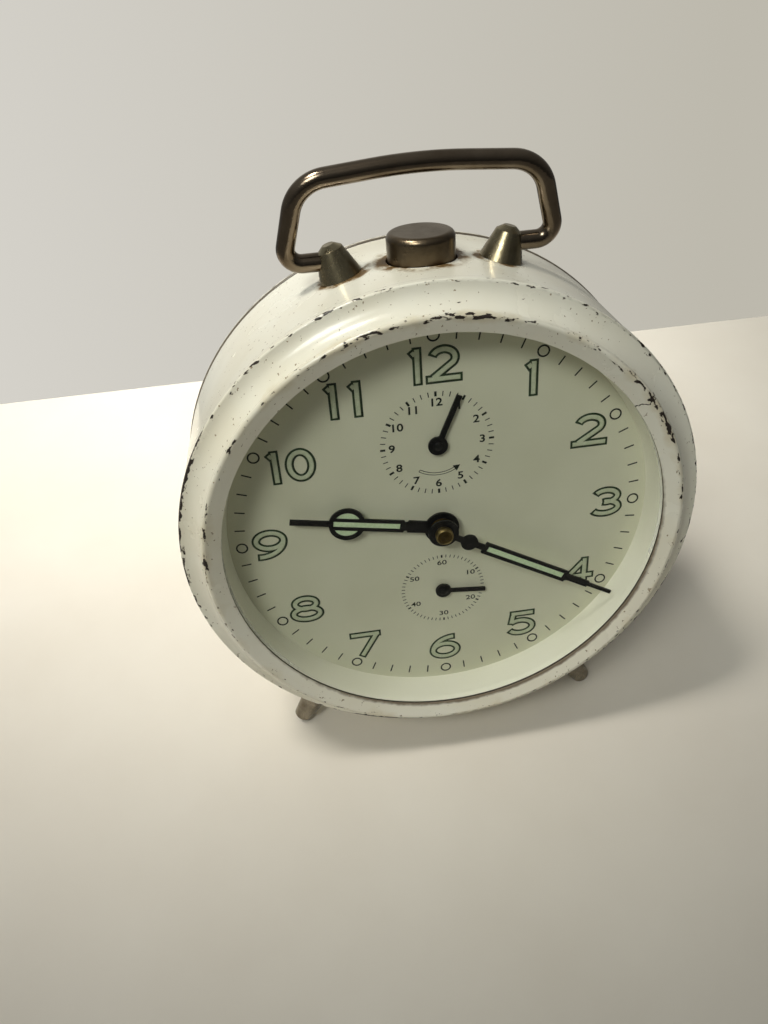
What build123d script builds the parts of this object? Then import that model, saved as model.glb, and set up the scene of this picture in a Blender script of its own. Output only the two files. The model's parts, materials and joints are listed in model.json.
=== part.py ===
from build123d import *
import os
from math import atan2, cos, hypot, pi, radians, sin, sqrt, tan

# Wind-up alarm clock with a round steel case, two feet and a folding handle.
# Millimetres, +Z up, floor at Z = 0. The dial faces -Y and leans back, so that the
# clock stands on its two feet and on the rim of its rear cover.
# Heights are measured along the dial's normal, from its printed face towards the viewer,
# so pieces behind the dial have negative heights. Places on the dial are (right, up).

# Clearances
turn_gap = 0.05        # radial, of a shaft in its hole or a skirt in the drum
pass_gap = 0.3         # between pieces that pass each other
end_shake = 0.15       # of an arbor between the plates

# Case
lean = 11.5            # degrees
case_gap = 8.7         # between the movement's plates and the drum
drum_wall = 0.8
drum_front = 3.2
drum_depth = 29.2

# Bezel: lip, cove, ridge and a cone down to the opening
rim_lip = 0.2          # how far the rims stand past the drum
rim_front = 4.9
rim_round = 0.5
cove_width = 5.3
cove_sag = 0.8
cone_width = 3.1
ridge_front = 9.2
ridge_round = 0.8
opening_front = 8.0
bezel_wall = 0.7
skirt_wall = 0.6
bezel_skirt = 4.5

# Glass, dial and the ring between them
glass_thickness = 1.2
glass_lap = 1.7        # how far the glass reaches under the bezel
dial_thickness = 0.5
ring_taper = 0.7       # how far the ring narrows from the glass to the dial
dial_lap = 1.8
dial_foot_radius = 1.2
dial_foot_margin = 8.0

# Rear cover
seam = 0.25
cover_wall = 0.8
cover_rim = 1.2
cover_round = 0.4
cover_skirt = 2.5
dish_gap = 0.4         # between the cover's posts and the dish
dish_depth = 6.0
dish_taper = 2.6
cover_screw_radius = 1.0
cover_screw_head = 2.2
cover_screw_head_height = 1.2

# Feet, screwed in from outside
foot_angle = 32.3      # degrees from the bottom
foot_height = -5.7
foot_tip = 2.15
foot_taper = 6.5       # degrees to each side
foot_round = 0.6
foot_wear = 0.25       # depth of the worn flat
shank_radius = 1.2
nut_across = 4.5
nut_thickness = 1.6

# Handle and its studs
stud_angle = 16.7      # degrees from the top
stud_height = -11.3
stud_base = 4.2
stud_top = 2.15
stud_length = 6.2
stud_chamfer = 1.0
rod_radius = 1.75
handle_pivot_rise = 0.65  # above the drum's top
handle_reach = 9.55    # from the stud's axis to the foot of the side
handle_lean_in = 4.05
handle_rise = 15.1
handle_bow = 1.85
handle_low_bend = 2.9
handle_top_bend = 7.3
handle_bow_bend = 100.0

# Stop button
button_radius = 6.45
button_rise = 4.75     # above the drum's top
button_height = -10.3
button_round = 1.2
button_hole_gap = 0.3
button_travel = 2.0
flange_radius = 7.4
flange_thickness = 1.0
flange_drop = 2.0      # below the drum's outside at the top
stem_radius = 1.6
stem_pin_radius = 0.8
spring_wall = 0.6
spring_length = 5.2
bracket_thickness = 1.0
bracket_width = 9.0
bracket_foot = 7.0
stop_pivot_right = -10.0
stop_arm_reach = 14.5
stop_arm_width = 2.0
stop_arm_drop = 4.0    # of the lever's axis below the bracket

# Hands, with the angles of the pictured time in degrees clockwise from 12
hand_thickness = 0.5
hour_angle = 281.0
minute_angle = 120.5
second_angle = 96.0
alarm_angle = 23.4
alarm_up = 19.1        # centre of the alarm dial
second_down = 17.8     # centre of the seconds dial
small_hand_rise = 0.5
hand_gap = 1.65        # between the hour hand and the minute hand
hour_hub = 3.7
hour_length = 31.9
hour_bar = 2.8
hour_ring_at = 20.1
hour_ring = 3.8
hour_ring_band = 0.95
hour_tip_width = 1.2
hour_notch_at = 7.7
hour_notch = 0.45
hour_slot_start = 8.9
minute_hub = 3.2
minute_length = 43.5
minute_neck = 1.3
minute_bead_at = 6.3
minute_bead = 1.85
minute_bar_start = 9.9
minute_bar_end = 31.3
minute_bar = 2.8
minute_step_end = 37.2
minute_step_width = 1.5
minute_tip_width = 0.8
slot_width = 1.35
slot_margin = 0.9
second_hub = 1.75
second_length = 9.5
second_width = 0.9
alarm_hub = 2.0
alarm_length = 11.4
alarm_width = 1.1
hub_boss = 0.15
nut_radius = 2.0
hand_nut_height = 1.3

# Movement: plates, tiers of wheels between them, and turned pieces
plate_margin = 5.3     # of the plates beyond the balance, the outermost arbor
plate_thickness = 1.2
wheel_thickness = 0.9
tier_gap = 0.6
tier_count = 10
pillar_radius = 2.2
pillar_margin = 4.0
pillar_angles = (0, 120, 195, 300)
crossing_rim = 1.6     # metal left at a wheel's rim and hub
arbor_radius = 0.9
pivot_radius = 0.6
long_arbor_radius = 1.0
cam_radius = 2.6
clutch_radius = 2.2
winding_radius = 2.0
minute_pipe_wall = 0.7
hour_pipe_wall = 0.7

# Wheel teeth, in modules and in shares of the pitch
addendum = 0.75
dedendum = 1.0
root_share = 0.30
tip_share = 0.10

# Wheel trains
great_teeth = 72
great_module = 0.45
centre_pinion_teeth = 12
centre_teeth = 64
centre_module = 0.35
third_teeth = 60
third_module = 0.32
fourth_teeth = 64
fourth_module = 0.30
pinion_teeth = 8
hour_teeth = 48
minute_teeth = 36
motion_pinion_teeth = 12
alarm_great_teeth = 60
alarm_module = 0.45
great_angle = 164.0    # directions of the arbors, in degrees from the dial's right
escape_angle = 213.5
pallet_angle = 205.8
alarm_great_place = (24.0, 12.0)
alarm_scape_angle = 126.9
hammer_angle = 72.0
ratchet_teeth = 18
ratchet_radius = 5.0
ratchet_tooth = 0.9
click_radius = 1.2
spring_thickness = 0.4
great_spring_turns = 7
great_spring_pitch = 1.6
alarm_spring_turns = 6
alarm_spring_pitch = 1.6
spring_tiers = 5

# Escapement and alarm beater
escape_teeth = 15
escape_radius = 5.0
escape_tooth = 1.5
pallet_distance = 6.6
pallet_reach = 4.0
pallet_rise = 2.0
rocker_arm_width = 1.2
balance_distance = 9.5
balance_radius = 8.5
balance_rim = 1.2
balance_spoke = 1.4
roller_radius = 2.2
hairspring_thickness = 0.2
hairspring_turns = 4
hairspring_pitch = 0.9
scape_teeth = 15
scape_radius = 5.5
scape_tooth = 1.6
hammer_distance = 7.4
beater_reach = 4.4
beater_rise = 1.8
hammer_arm = 18.0
hammer_arm_width = 2.0
hammer_head = 2.2
hammer_head_length = 5.0
hammer_tail = 5.0
regulator_reach = 11.0
regulator_width = 1.6
regulator_swing = 20.0

# Keys and knobs behind the rear cover
knob_radius = 5.0
knob_thickness = 4.0
knob_flutes = 16
knob_flute_radius = 0.55
knob_stand_off = 1.2
key_width = 20.0
key_height = 8.5
key_thickness = 1.6
key_eye = 2.4
key_hub = 3.4
key_hub_length = 5.0

def tier(number):
    """Front face of a wheel in a tier between the plates, counted from the front plate."""
    return front_plate_back - tier_gap - number * (wheel_thickness + tier_gap)


def toward(centre, distance, angle):
    """Place at a distance from another, in a direction given in degrees."""
    turn = radians(angle)
    return (centre[0] + distance * cos(turn), centre[1] + distance * sin(turn))


def pitch_distance(module, teeth, other_teeth):
    """Distance between two arbors whose wheels mesh."""
    return module * (teeth + other_teeth) / 2


def meshed(centre, teeth, phase, other, other_teeth):
    """Phase of a second wheel, in its own pitches, that puts its gap on the first one's tooth."""
    line = atan2(other[1] - centre[1], other[0] - centre[0])
    share = line * teeth / (2 * pi) - phase
    return (line + pi) * other_teeth / (2 * pi) - 0.5 + share


# Derived heights of the hands
small_hand_top = small_hand_rise + hand_thickness + hub_boss
hour_hand_rise = small_hand_top + pass_gap
minute_hand_rise = hour_hand_rise + hand_thickness + hand_gap

# Derived places of the movement
dial_back = -dial_thickness
hour_wheel_front = dial_back - tier_gap
hour_wheel_back = hour_wheel_front - wheel_thickness
minute_wheel_front = hour_wheel_back - tier_gap
minute_wheel_back = minute_wheel_front - wheel_thickness
front_plate_face = minute_wheel_back - tier_gap
front_plate_back = front_plate_face - plate_thickness
back_plate_face = tier(tier_count)
back_plate_back = back_plate_face - plate_thickness
centre = (0, 0)
alarm_centre = (0, alarm_up)
fourth_centre = (0, -second_down)
great_centre = toward(
    centre, pitch_distance(great_module, great_teeth, centre_pinion_teeth), great_angle
)

# The third arbor lies where its distances from the centre and fourth arbors meet.
third_from_centre = pitch_distance(centre_module, centre_teeth, pinion_teeth)
third_from_fourth = pitch_distance(third_module, third_teeth, pinion_teeth)
third_down = (third_from_centre**2 - third_from_fourth**2 + second_down**2) / (2 * second_down)
third_centre = (sqrt(third_from_centre**2 - third_down**2), -third_down)
escape_centre = toward(
    fourth_centre, pitch_distance(fourth_module, fourth_teeth, pinion_teeth), escape_angle
)
pallet_centre = toward(escape_centre, pallet_distance, pallet_angle)
balance_centre = toward(pallet_centre, balance_distance, pallet_angle)
hour_module = alarm_up / hour_teeth
motion_distance = pitch_distance(hour_module, hour_teeth, motion_pinion_teeth)
motion_module = 2 * motion_distance / (minute_teeth + motion_pinion_teeth)
minute_centre = (-motion_distance, 0)
alarm_great_centre = alarm_great_place
scape_centre = toward(
    alarm_great_centre,
    pitch_distance(alarm_module, alarm_great_teeth, pinion_teeth),
    alarm_scape_angle,
)
hammer_centre = toward(scape_centre, hammer_distance, hammer_angle)
minute_pipe = long_arbor_radius + minute_pipe_wall
hour_pipe = minute_pipe + turn_gap + hour_pipe_wall
plate_radius = hypot(*balance_centre) + plate_margin
pillar_circle = plate_radius - pillar_margin
dial_foot_circle = plate_radius - dial_foot_margin

# Derived places of the case
tilt = radians(lean)
drum_inside = plate_radius + case_gap
drum_radius = drum_inside + drum_wall
rim_radius = drum_radius + rim_lip
ridge_reach = rim_radius - cove_width
opening_radius = ridge_reach - cone_width
sight_radius = opening_radius - ring_taper
handle_pivot_up = drum_radius + handle_pivot_rise
button_top = drum_radius + button_rise
drum_back = drum_front - drum_depth
cover_front = drum_back - seam
cover_back = cover_front - cover_rim
dish_back = cover_back - dish_depth
key_front = dish_back - knob_stand_off
key_back = key_front - key_hub_length - key_height
dish_radius = pillar_circle + pillar_radius + dish_gap + cover_wall + dish_taper
bead_radius = rim_radius - cover_round
dial_rise = bead_radius * cos(tilt) - (cover_back + cover_round) * sin(tilt) + cover_round

# The footprint runs from the bezel's ridge to the wings of the higher key.
ridge_centre = ridge_front - ridge_round
front_reach = ridge_centre * cos(tilt) + ridge_reach * sin(tilt) + ridge_round
back_reach = -key_back * cos(tilt) + (alarm_great_place[1] + key_thickness / 2) * sin(tilt)
DIAL = Plane(
    origin=(0, (front_reach - back_reach) / 2, dial_rise),
    x_dir=(1, 0, 0),
    z_dir=(0, -cos(tilt), sin(tilt)),
)
PROFILE = Plane(origin=DIAL.origin, x_dir=DIAL.x_dir, z_dir=-DIAL.y_dir)
DIAL_AXIS = Axis(DIAL.origin, DIAL.z_dir)

# Derived places of the button works
stop_tier = 3
bracket_top = drum_radius - flange_drop - flange_thickness - spring_length
stop_up = bracket_top - bracket_thickness - stop_arm_drop
stop_centre = (stop_pivot_right, stop_up)


def place(spot, height=0.0):
    """Point in space of a spot on the dial at a height."""
    return DIAL.from_local_coords((spot[0], spot[1], height))


def aimed(spot, height, angle):
    """Plane parallel to the dial at a spot, with its +Y turned clockwise from 12 by an angle."""
    turn = radians(angle)
    along_x = DIAL.x_dir * cos(turn) - DIAL.y_dir * sin(turn)
    return Plane(origin=place(spot, height), x_dir=along_x, z_dir=DIAL.z_dir)


def radial(angle, reach, height):
    """Plane square to the drum's radius, at an angle clockwise from the top."""
    turn = radians(angle)
    outward = DIAL.x_dir * sin(turn) + DIAL.y_dir * cos(turn)
    spot = (reach * sin(turn), reach * cos(turn))
    return Plane(origin=place(spot, height), x_dir=DIAL.z_dir, z_dir=outward)


def disc(spot, radius, back, front, mode=Mode.ADD):
    """Round step of a turned piece between two heights."""
    with BuildSketch(DIAL.offset(back)) as step:
        with Locations(spot):
            Circle(radius)
    extrude(step.sketch, amount=front - back, mode=mode)


def arbor(spot, radius=arbor_radius):
    """Arbor between the plates, with its two pivots."""
    disc(spot, radius, back_plate_face + end_shake, front_plate_back - end_shake)
    disc(spot, pivot_radius, back_plate_back, front_plate_face)


def toothed(spot, outline, back, front, bore=0.0):
    """Solid of a toothed outline, given as (radius, angle) corners, with a bore."""
    corners = [(spot[0] + r * cos(a), spot[1] + r * sin(a)) for r, a in outline]
    with BuildSketch(DIAL.offset(back)) as blank:
        with BuildLine():
            Polyline(*corners, close=True)
        make_face()
        if bore:
            with Locations(spot):
                Circle(bore, mode=Mode.SUBTRACT)
    extrude(blank.sketch, amount=front - back)


def wheel(spot, teeth, module, back, front, phase=0.0, bore=0.0):
    """Spur wheel with straight-flanked teeth, turned by a phase in tooth pitches."""
    tip = module * (teeth / 2 + addendum)
    root = module * (teeth / 2 - dedendum)
    tooth = ((root, -root_share), (tip, -tip_share), (tip, tip_share), (root, root_share))
    outline = []
    for number in range(teeth):
        for radius, share in tooth:
            outline.append((radius, (number + phase + share) * 2 * pi / teeth))
    toothed(spot, outline, back, front, bore)


def saw_wheel(spot, teeth, tip, depth, back, front, bore=0.0):
    """Escape or ratchet wheel with leaning teeth."""
    outline = []
    for number in range(teeth):
        for radius, share in ((tip - depth, 0.0), (tip, 0.08), (tip, 0.22), (tip - depth, 0.8)):
            outline.append((radius, (number + share) * 2 * pi / teeth))
    toothed(spot, outline, back, front, bore)


def crossings(spot, hub, module, teeth, back, front, count=4):
    """Round openings that lighten a wheel between its hub and its rim."""
    inside = hub + crossing_rim
    outside = module * (teeth / 2 - dedendum) - crossing_rim
    with BuildSketch(DIAL.offset(back)) as holes:
        with Locations(spot):
            with PolarLocations((inside + outside) / 2, count):
                Circle((outside - inside) / 2)
    extrude(holes.sketch, amount=front - back, mode=Mode.SUBTRACT)


def spiral(spot, start, pitch, turns, thickness, back, front):
    """Flat spiral spring of half-circle arcs, growing by half a pitch each half turn."""
    with BuildSketch(DIAL.offset(back)) as strip:
        with BuildLine():
            sides = []
            for side in (thickness / 2, -thickness / 2):
                for half in range(2 * turns):
                    shift = pitch / 4 if half % 2 else -pitch / 4
                    reach = start + half * pitch / 2 + pitch / 4
                    arc = CenterArc(
                        (spot[0] + shift, spot[1]), reach + side, 180 * (half % 2), 180
                    )
                    sides.append(arc)
            Line(sides[0] @ 0, sides[2 * turns] @ 0)
            Line(sides[2 * turns - 1] @ 1, sides[4 * turns - 1] @ 1)
        make_face()
    extrude(strip.sketch, amount=front - back)


def keep(piece, name):
    """Label a finished piece and write it."""
    piece.part.label = name
    export_step(piece.part, f"parts/{name}.step")


os.makedirs("parts", exist_ok=True)

# Case drum, with holes for the button, the studs and the feet
with BuildPart() as case_drum:
    with BuildSketch(DIAL.offset(drum_back)):
        Circle(drum_radius)
        Circle(drum_inside, mode=Mode.SUBTRACT)
    extrude(amount=drum_depth)
    with BuildSketch(radial(0, 0, button_height)):
        Circle(button_radius + button_hole_gap)
    extrude(amount=drum_radius + drum_wall, mode=Mode.SUBTRACT)
    for angle in (-stud_angle, stud_angle):
        with BuildSketch(radial(angle, 0, stud_height)):
            Circle(shank_radius + turn_gap)
        extrude(amount=drum_radius + drum_wall, mode=Mode.SUBTRACT)
    for angle in (180 - foot_angle, 180 + foot_angle):
        with BuildSketch(radial(angle, 0, foot_height)):
            Circle(shank_radius + turn_gap)
        extrude(amount=drum_radius + drum_wall, mode=Mode.SUBTRACT)
keep(case_drum, "case_drum")

# Bezel, one turned ring that slips into the front of the drum
skirt_outside = drum_inside - turn_gap
skirt_inside = skirt_outside - skirt_wall
glass_front = opening_front - bezel_wall
glass_radius = opening_radius + glass_lap


def on_ridge(angle):
    """Point on the rounded ridge of the bezel."""
    turn = radians(angle)
    return (ridge_reach + ridge_round * cos(turn), ridge_centre + ridge_round * sin(turn))


with BuildPart() as bezel:
    with BuildSketch(PROFILE):
        with BuildLine():
            cone = Line((opening_radius, opening_front), on_ridge(110))
            ridge = ThreePointArc(on_ridge(110), on_ridge(50), on_ridge(-10))
            cove_end = (rim_radius - rim_round, rim_front)
            cove = SagittaArc(ridge @ 1, cove_end, -cove_sag)
            RadiusArc(cove_end, (rim_radius, rim_front - rim_round), rim_round)
            Polyline(
                (rim_radius, rim_front - rim_round),
                (rim_radius, drum_front),
                (skirt_outside, drum_front),
                (skirt_outside, drum_front - bezel_skirt),
                (skirt_inside, drum_front - bezel_skirt),
                (skirt_inside, drum_front),
                (glass_radius + pass_gap, glass_front),
                (opening_radius, glass_front),
                (opening_radius, opening_front),
            )
        make_face()
    revolve(axis=DIAL_AXIS)
keep(bezel, "bezel")

# Flat glass under the bezel
glass_back = glass_front - glass_thickness
with BuildPart() as glass:
    disc(centre, glass_radius, glass_back, glass_front)
keep(glass, "glass")

# Conical ring between glass and dial
dial_radius = sight_radius + dial_lap
with BuildPart() as dial_ring:
    with BuildSketch(PROFILE):
        with BuildLine():
            Polyline(
                (sight_radius, 0),
                (dial_radius, 0),
                (dial_radius, glass_back),
                (opening_radius, glass_back),
                close=True,
            )
        make_face()
    revolve(axis=DIAL_AXIS)
keep(dial_ring, "dial_ring")

# Dial, with its feet behind and holes for the three sets of hands
with BuildPart() as dial:
    disc(centre, dial_radius, dial_back, 0)
    for angle in (30, 150, 270):
        spot = toward(centre, dial_foot_circle, angle)
        disc(spot, dial_foot_radius, front_plate_face, dial_back)
    disc(centre, hour_pipe + pass_gap, dial_back, 0, mode=Mode.SUBTRACT)
    disc(alarm_centre, long_arbor_radius + pass_gap, dial_back, 0, mode=Mode.SUBTRACT)
    disc(fourth_centre, arbor_radius + pass_gap, dial_back, 0, mode=Mode.SUBTRACT)
keep(dial, "dial")

# Front plate, with the post of the motion wheel and that of the stop lever
through_arbors = (
    (centre, long_arbor_radius),
    (alarm_centre, long_arbor_radius),
    (fourth_centre, arbor_radius),
)
pivoted = (third_centre, escape_centre, pallet_centre, balance_centre, scape_centre, hammer_centre)
winding_spots = (great_centre, alarm_great_centre)
motion_post = pivot_radius + turn_gap
with BuildPart() as front_plate:
    disc(centre, plate_radius, front_plate_back, front_plate_face)
    disc(minute_centre, motion_post, front_plate_face, dial_back - turn_gap)
    disc(stop_centre, motion_post, tier(stop_tier + 1), front_plate_back)
    for spot, radius in through_arbors:
        hole = radius + turn_gap
        disc(spot, hole, front_plate_back, front_plate_face, mode=Mode.SUBTRACT)
    for spot in pivoted:
        hole = pivot_radius + turn_gap
        disc(spot, hole, front_plate_back, front_plate_face, mode=Mode.SUBTRACT)
    for spot in winding_spots:
        hole = arbor_radius + turn_gap
        disc(spot, hole, front_plate_back, front_plate_face, mode=Mode.SUBTRACT)
keep(front_plate, "front_plate")

# Back plate
with BuildPart() as back_plate:
    disc(centre, plate_radius, back_plate_back, back_plate_face)
    for spot, radius in through_arbors[:2]:
        hole = radius + turn_gap
        disc(spot, hole, back_plate_back, back_plate_face, mode=Mode.SUBTRACT)
    for spot in pivoted[:-1] + (fourth_centre,):
        hole = pivot_radius + turn_gap
        disc(spot, hole, back_plate_back, back_plate_face, mode=Mode.SUBTRACT)
    disc(hammer_centre, arbor_radius + turn_gap, back_plate_back, back_plate_face, mode=Mode.SUBTRACT)
    for spot in winding_spots:
        hole = winding_radius + turn_gap
        disc(spot, hole, back_plate_back, back_plate_face, mode=Mode.SUBTRACT)
keep(back_plate, "back_plate")

# Pillars between the plates, and the posts that carry the rear cover
pillar_spots = [toward(centre, pillar_circle, angle) for angle in pillar_angles]
cover_inside = dish_back + cover_wall
with BuildPart() as pillars:
    for spot in pillar_spots:
        disc(spot, pillar_radius, back_plate_face, front_plate_back)
keep(pillars, "pillars")
with BuildPart() as cover_posts:
    for spot in pillar_spots:
        disc(spot, pillar_radius, cover_inside, back_plate_back)
        disc(spot, cover_screw_radius, cover_inside, back_plate_back, mode=Mode.SUBTRACT)
keep(cover_posts, "cover_posts")

# Rear cover: beaded rim, skirt and a shallow dish with holes for keys, knobs and regulator
slot_half = regulator_width / 2 + pass_gap
slot_swing = regulator_swing + slot_half / regulator_reach * 180 / pi
with BuildPart() as rear_cover:
    with BuildSketch(PROFILE):
        with BuildLine():
            bead_front = (rim_radius, cover_front - cover_round)
            bead_back = (rim_radius, cover_back + cover_round)
            RadiusArc((bead_radius, cover_front), bead_front, cover_round)
            Line(bead_front, bead_back)
            RadiusArc(bead_back, (bead_radius, cover_back), cover_round)
            Polyline(
                (bead_radius, cover_back),
                (dish_radius, cover_back),
                (dish_radius - dish_taper, dish_back),
                (0, dish_back),
                (0, cover_inside),
                (dish_radius - dish_taper - cover_wall, cover_inside),
                (dish_radius - cover_wall, cover_back + cover_wall),
                (skirt_inside, cover_back + cover_wall),
                (skirt_inside, cover_front + cover_skirt),
                (skirt_outside, cover_front + cover_skirt),
                (skirt_outside, cover_front),
                (bead_radius, cover_front),
            )
        make_face()
    revolve(axis=DIAL_AXIS)
    for spot in (centre, alarm_centre):
        disc(spot, long_arbor_radius + pass_gap, dish_back, cover_inside, mode=Mode.SUBTRACT)
    for spot in winding_spots:
        disc(spot, winding_radius + pass_gap, dish_back, cover_inside, mode=Mode.SUBTRACT)
    for spot in pillar_spots:
        disc(spot, cover_screw_radius, dish_back, cover_inside, mode=Mode.SUBTRACT)
    with BuildSketch(aimed(balance_centre, dish_back, 0)):
        with BuildLine():
            outer = CenterArc((0, 0), regulator_reach + slot_half, 90 - slot_swing, 2 * slot_swing)
            inner = CenterArc((0, 0), regulator_reach - slot_half, 90 - slot_swing, 2 * slot_swing)
            Line(outer @ 0, inner @ 0)
            Line(outer @ 1, inner @ 1)
        make_face()
    extrude(amount=cover_wall, mode=Mode.SUBTRACT)
keep(rear_cover, "rear_cover")

# Screws of the rear cover
with BuildPart() as cover_screws:
    for spot in pillar_spots:
        disc(spot, cover_screw_radius, dish_back, back_plate_back)
        disc(spot, cover_screw_head, dish_back - cover_screw_head_height, dish_back)
keep(cover_screws, "cover_screws")

# Feet: tapered pins with a threaded shank, a rounded tip and a worn flat on the floor
nut_seat = sqrt(drum_inside**2 - (nut_across / sqrt(3)) ** 2)
foot_turn = radians(foot_angle)
foot_fall = cos(foot_turn) * cos(tilt)
foot_slant = sqrt(1 - foot_fall**2)
foot_drop = dial_rise + foot_height * sin(tilt) + foot_wear
tip_inset = foot_round * tan(radians(90 - foot_taper) / 2)
foot_drop -= (foot_tip - tip_inset) * foot_slant + foot_round
foot_length = foot_round + foot_drop / foot_fall - drum_radius
foot_base = foot_tip + foot_length * tan(radians(foot_taper))
for name, angle in (("foot_left", 180 + foot_angle), ("foot_right", 180 - foot_angle)):
    with BuildPart(radial(angle, drum_radius, foot_height)) as foot:
        Cone(foot_base, foot_tip, foot_length, align=(Align.CENTER, Align.CENTER, Align.MIN))
        shank_length = drum_radius - nut_seat + nut_thickness
        Cylinder(shank_radius, shank_length, align=(Align.CENTER, Align.CENTER, Align.MAX))
        tip_axis = radial(angle, drum_radius, foot_height).z_dir
        tip_face = foot.faces().sort_by(Axis(DIAL.origin, tip_axis))[-1]
        fillet(tip_face.edges(), foot_round)
        split(bisect_by=Plane.XY, keep=Keep.TOP)
    keep(foot, name)

# Handle studs: turned cones, bored from the side for the end of the handle
handle_pivot = place((0, handle_pivot_up), stud_height)
stud_turn = radians(stud_angle)
pivot_reach = handle_pivot_up / cos(stud_turn)
pivot_right = pivot_reach * sin(stud_turn)
for name, side in (("handle_stud_left", -1), ("handle_stud_right", 1)):
    with BuildPart(radial(side * stud_angle, drum_radius, stud_height)) as stud:
        Cone(
            stud_base, stud_top, stud_length, align=(Align.CENTER, Align.CENTER, Align.MIN)
        )
        stud_axis = radial(side * stud_angle, drum_radius, stud_height).z_dir
        top_face = stud.faces().sort_by(Axis(DIAL.origin, stud_axis))[-1]
        chamfer(top_face.edges(), stud_chamfer)
        shank_length = drum_radius - nut_seat + nut_thickness
        Cylinder(shank_radius, shank_length, align=(Align.CENTER, Align.CENTER, Align.MAX))
        bore = Plane(
            origin=(side * pivot_right, handle_pivot.Y, handle_pivot.Z),
            x_dir=(0, 1, 0),
            z_dir=(side, 0, 0),
        )
        with BuildSketch(bore):
            Circle(rod_radius + turn_gap)
        extrude(amount=2 * stud_base, mode=Mode.SUBTRACT)
    keep(stud, name)

# Nuts that hold the feet and the studs inside the drum
with BuildPart() as case_nuts:
    for angle, height in (
        (stud_angle, stud_height),
        (-stud_angle, stud_height),
        (180 + foot_angle, foot_height),
        (180 - foot_angle, foot_height),
    ):
        with BuildSketch(radial(angle, nut_seat, height)):
            RegularPolygon(nut_across / 2, 6, major_radius=False)
            Circle(shank_radius, mode=Mode.SUBTRACT)
        extrude(amount=-nut_thickness)
keep(case_nuts, "case_nuts")

# Handle: one bent rod, upright at rest, whose ends turn in the studs
rod_end = pivot_right + pass_gap
handle_width = pivot_right + handle_reach
handle_shoulder = handle_width - handle_lean_in
with BuildPart() as handle:
    UPRIGHT = Plane(origin=handle_pivot, x_dir=(1, 0, 0), z_dir=(0, -1, 0))
    with BuildLine(UPRIGHT) as bend:
        FilletPolyline(
            (-rod_end, 0),
            (-handle_width, 0),
            (-handle_shoulder, handle_rise),
            (0, handle_rise + handle_bow),
            (handle_shoulder, handle_rise),
            (handle_width, 0),
            (rod_end, 0),
            radius=[
                handle_low_bend,
                handle_top_bend,
                handle_bow_bend,
                handle_top_bend,
                handle_low_bend,
            ],
        )
    start = Plane(origin=bend.line @ 0, z_dir=bend.line % 0)
    with BuildSketch(start):
        Circle(rod_radius)
    sweep()
keep(handle, "handle")

# Stop button: cap, flange that keeps it in the case, stem and pin
flange_top = drum_radius - flange_drop
stop_top = stop_up + stop_arm_width / 2
with BuildPart() as stop_button:
    with BuildSketch(radial(0, flange_top, button_height)):
        Circle(button_radius)
    extrude(amount=button_top - flange_top)
    cap_face = stop_button.faces().sort_by(Axis(DIAL.origin, DIAL.y_dir))[-1]
    fillet(cap_face.edges(), button_round)
    with BuildSketch(radial(0, flange_top, button_height)):
        Circle(flange_radius)
    extrude(amount=-flange_thickness)
    with BuildSketch(radial(0, flange_top, button_height)):
        Circle(stem_radius)
    extrude(amount=bracket_top - bracket_thickness - flange_top)
    with BuildSketch(radial(0, flange_top, button_height)):
        Circle(stem_pin_radius)
    extrude(amount=stop_top + pass_gap - flange_top)
keep(stop_button, "stop_button")

# Bracket on the front plate that guides the stem and carries the spring
with BuildPart() as button_bracket:
    bracket_depth = front_plate_back - button_height + stem_radius + 2 * bracket_thickness
    with BuildSketch(radial(0, bracket_top, front_plate_back)):
        with Locations((-bracket_depth / 2, 0)):
            Rectangle(bracket_depth, bracket_width)
    extrude(amount=-bracket_thickness)
    with BuildSketch(DIAL.offset(front_plate_back)):
        with Locations((0, bracket_top - bracket_foot / 2)):
            Rectangle(bracket_width, bracket_foot)
    extrude(amount=-bracket_thickness)
    with BuildSketch(radial(0, bracket_top, button_height)):
        Circle(stem_radius + turn_gap)
    extrude(amount=-bracket_thickness, mode=Mode.SUBTRACT)
keep(button_bracket, "button_bracket")

# Spring round the stem, as the sleeve that its closed coils fill
with BuildPart() as button_spring:
    with BuildSketch(radial(0, bracket_top, button_height)):
        Circle(stem_radius + pass_gap + spring_wall)
        Circle(stem_radius + pass_gap, mode=Mode.SUBTRACT)
    extrude(amount=spring_length)
keep(button_spring, "button_spring")

# Stop lever, pressed down by the button's pin to hold the hammer
stop_front = tier(stop_tier)
with BuildPart() as stop_lever:
    with BuildSketch(DIAL.offset(stop_front - wheel_thickness)):
        with Locations(((stop_pivot_right + stop_arm_reach) / 2, stop_up)):
            SlotOverall(stop_arm_reach - stop_pivot_right + stop_arm_width, stop_arm_width)
        with Locations(stop_centre):
            Circle(stop_arm_width)
            Circle(motion_post + turn_gap, mode=Mode.SUBTRACT)
    extrude(amount=wheel_thickness)
keep(stop_lever, "stop_lever")

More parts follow.
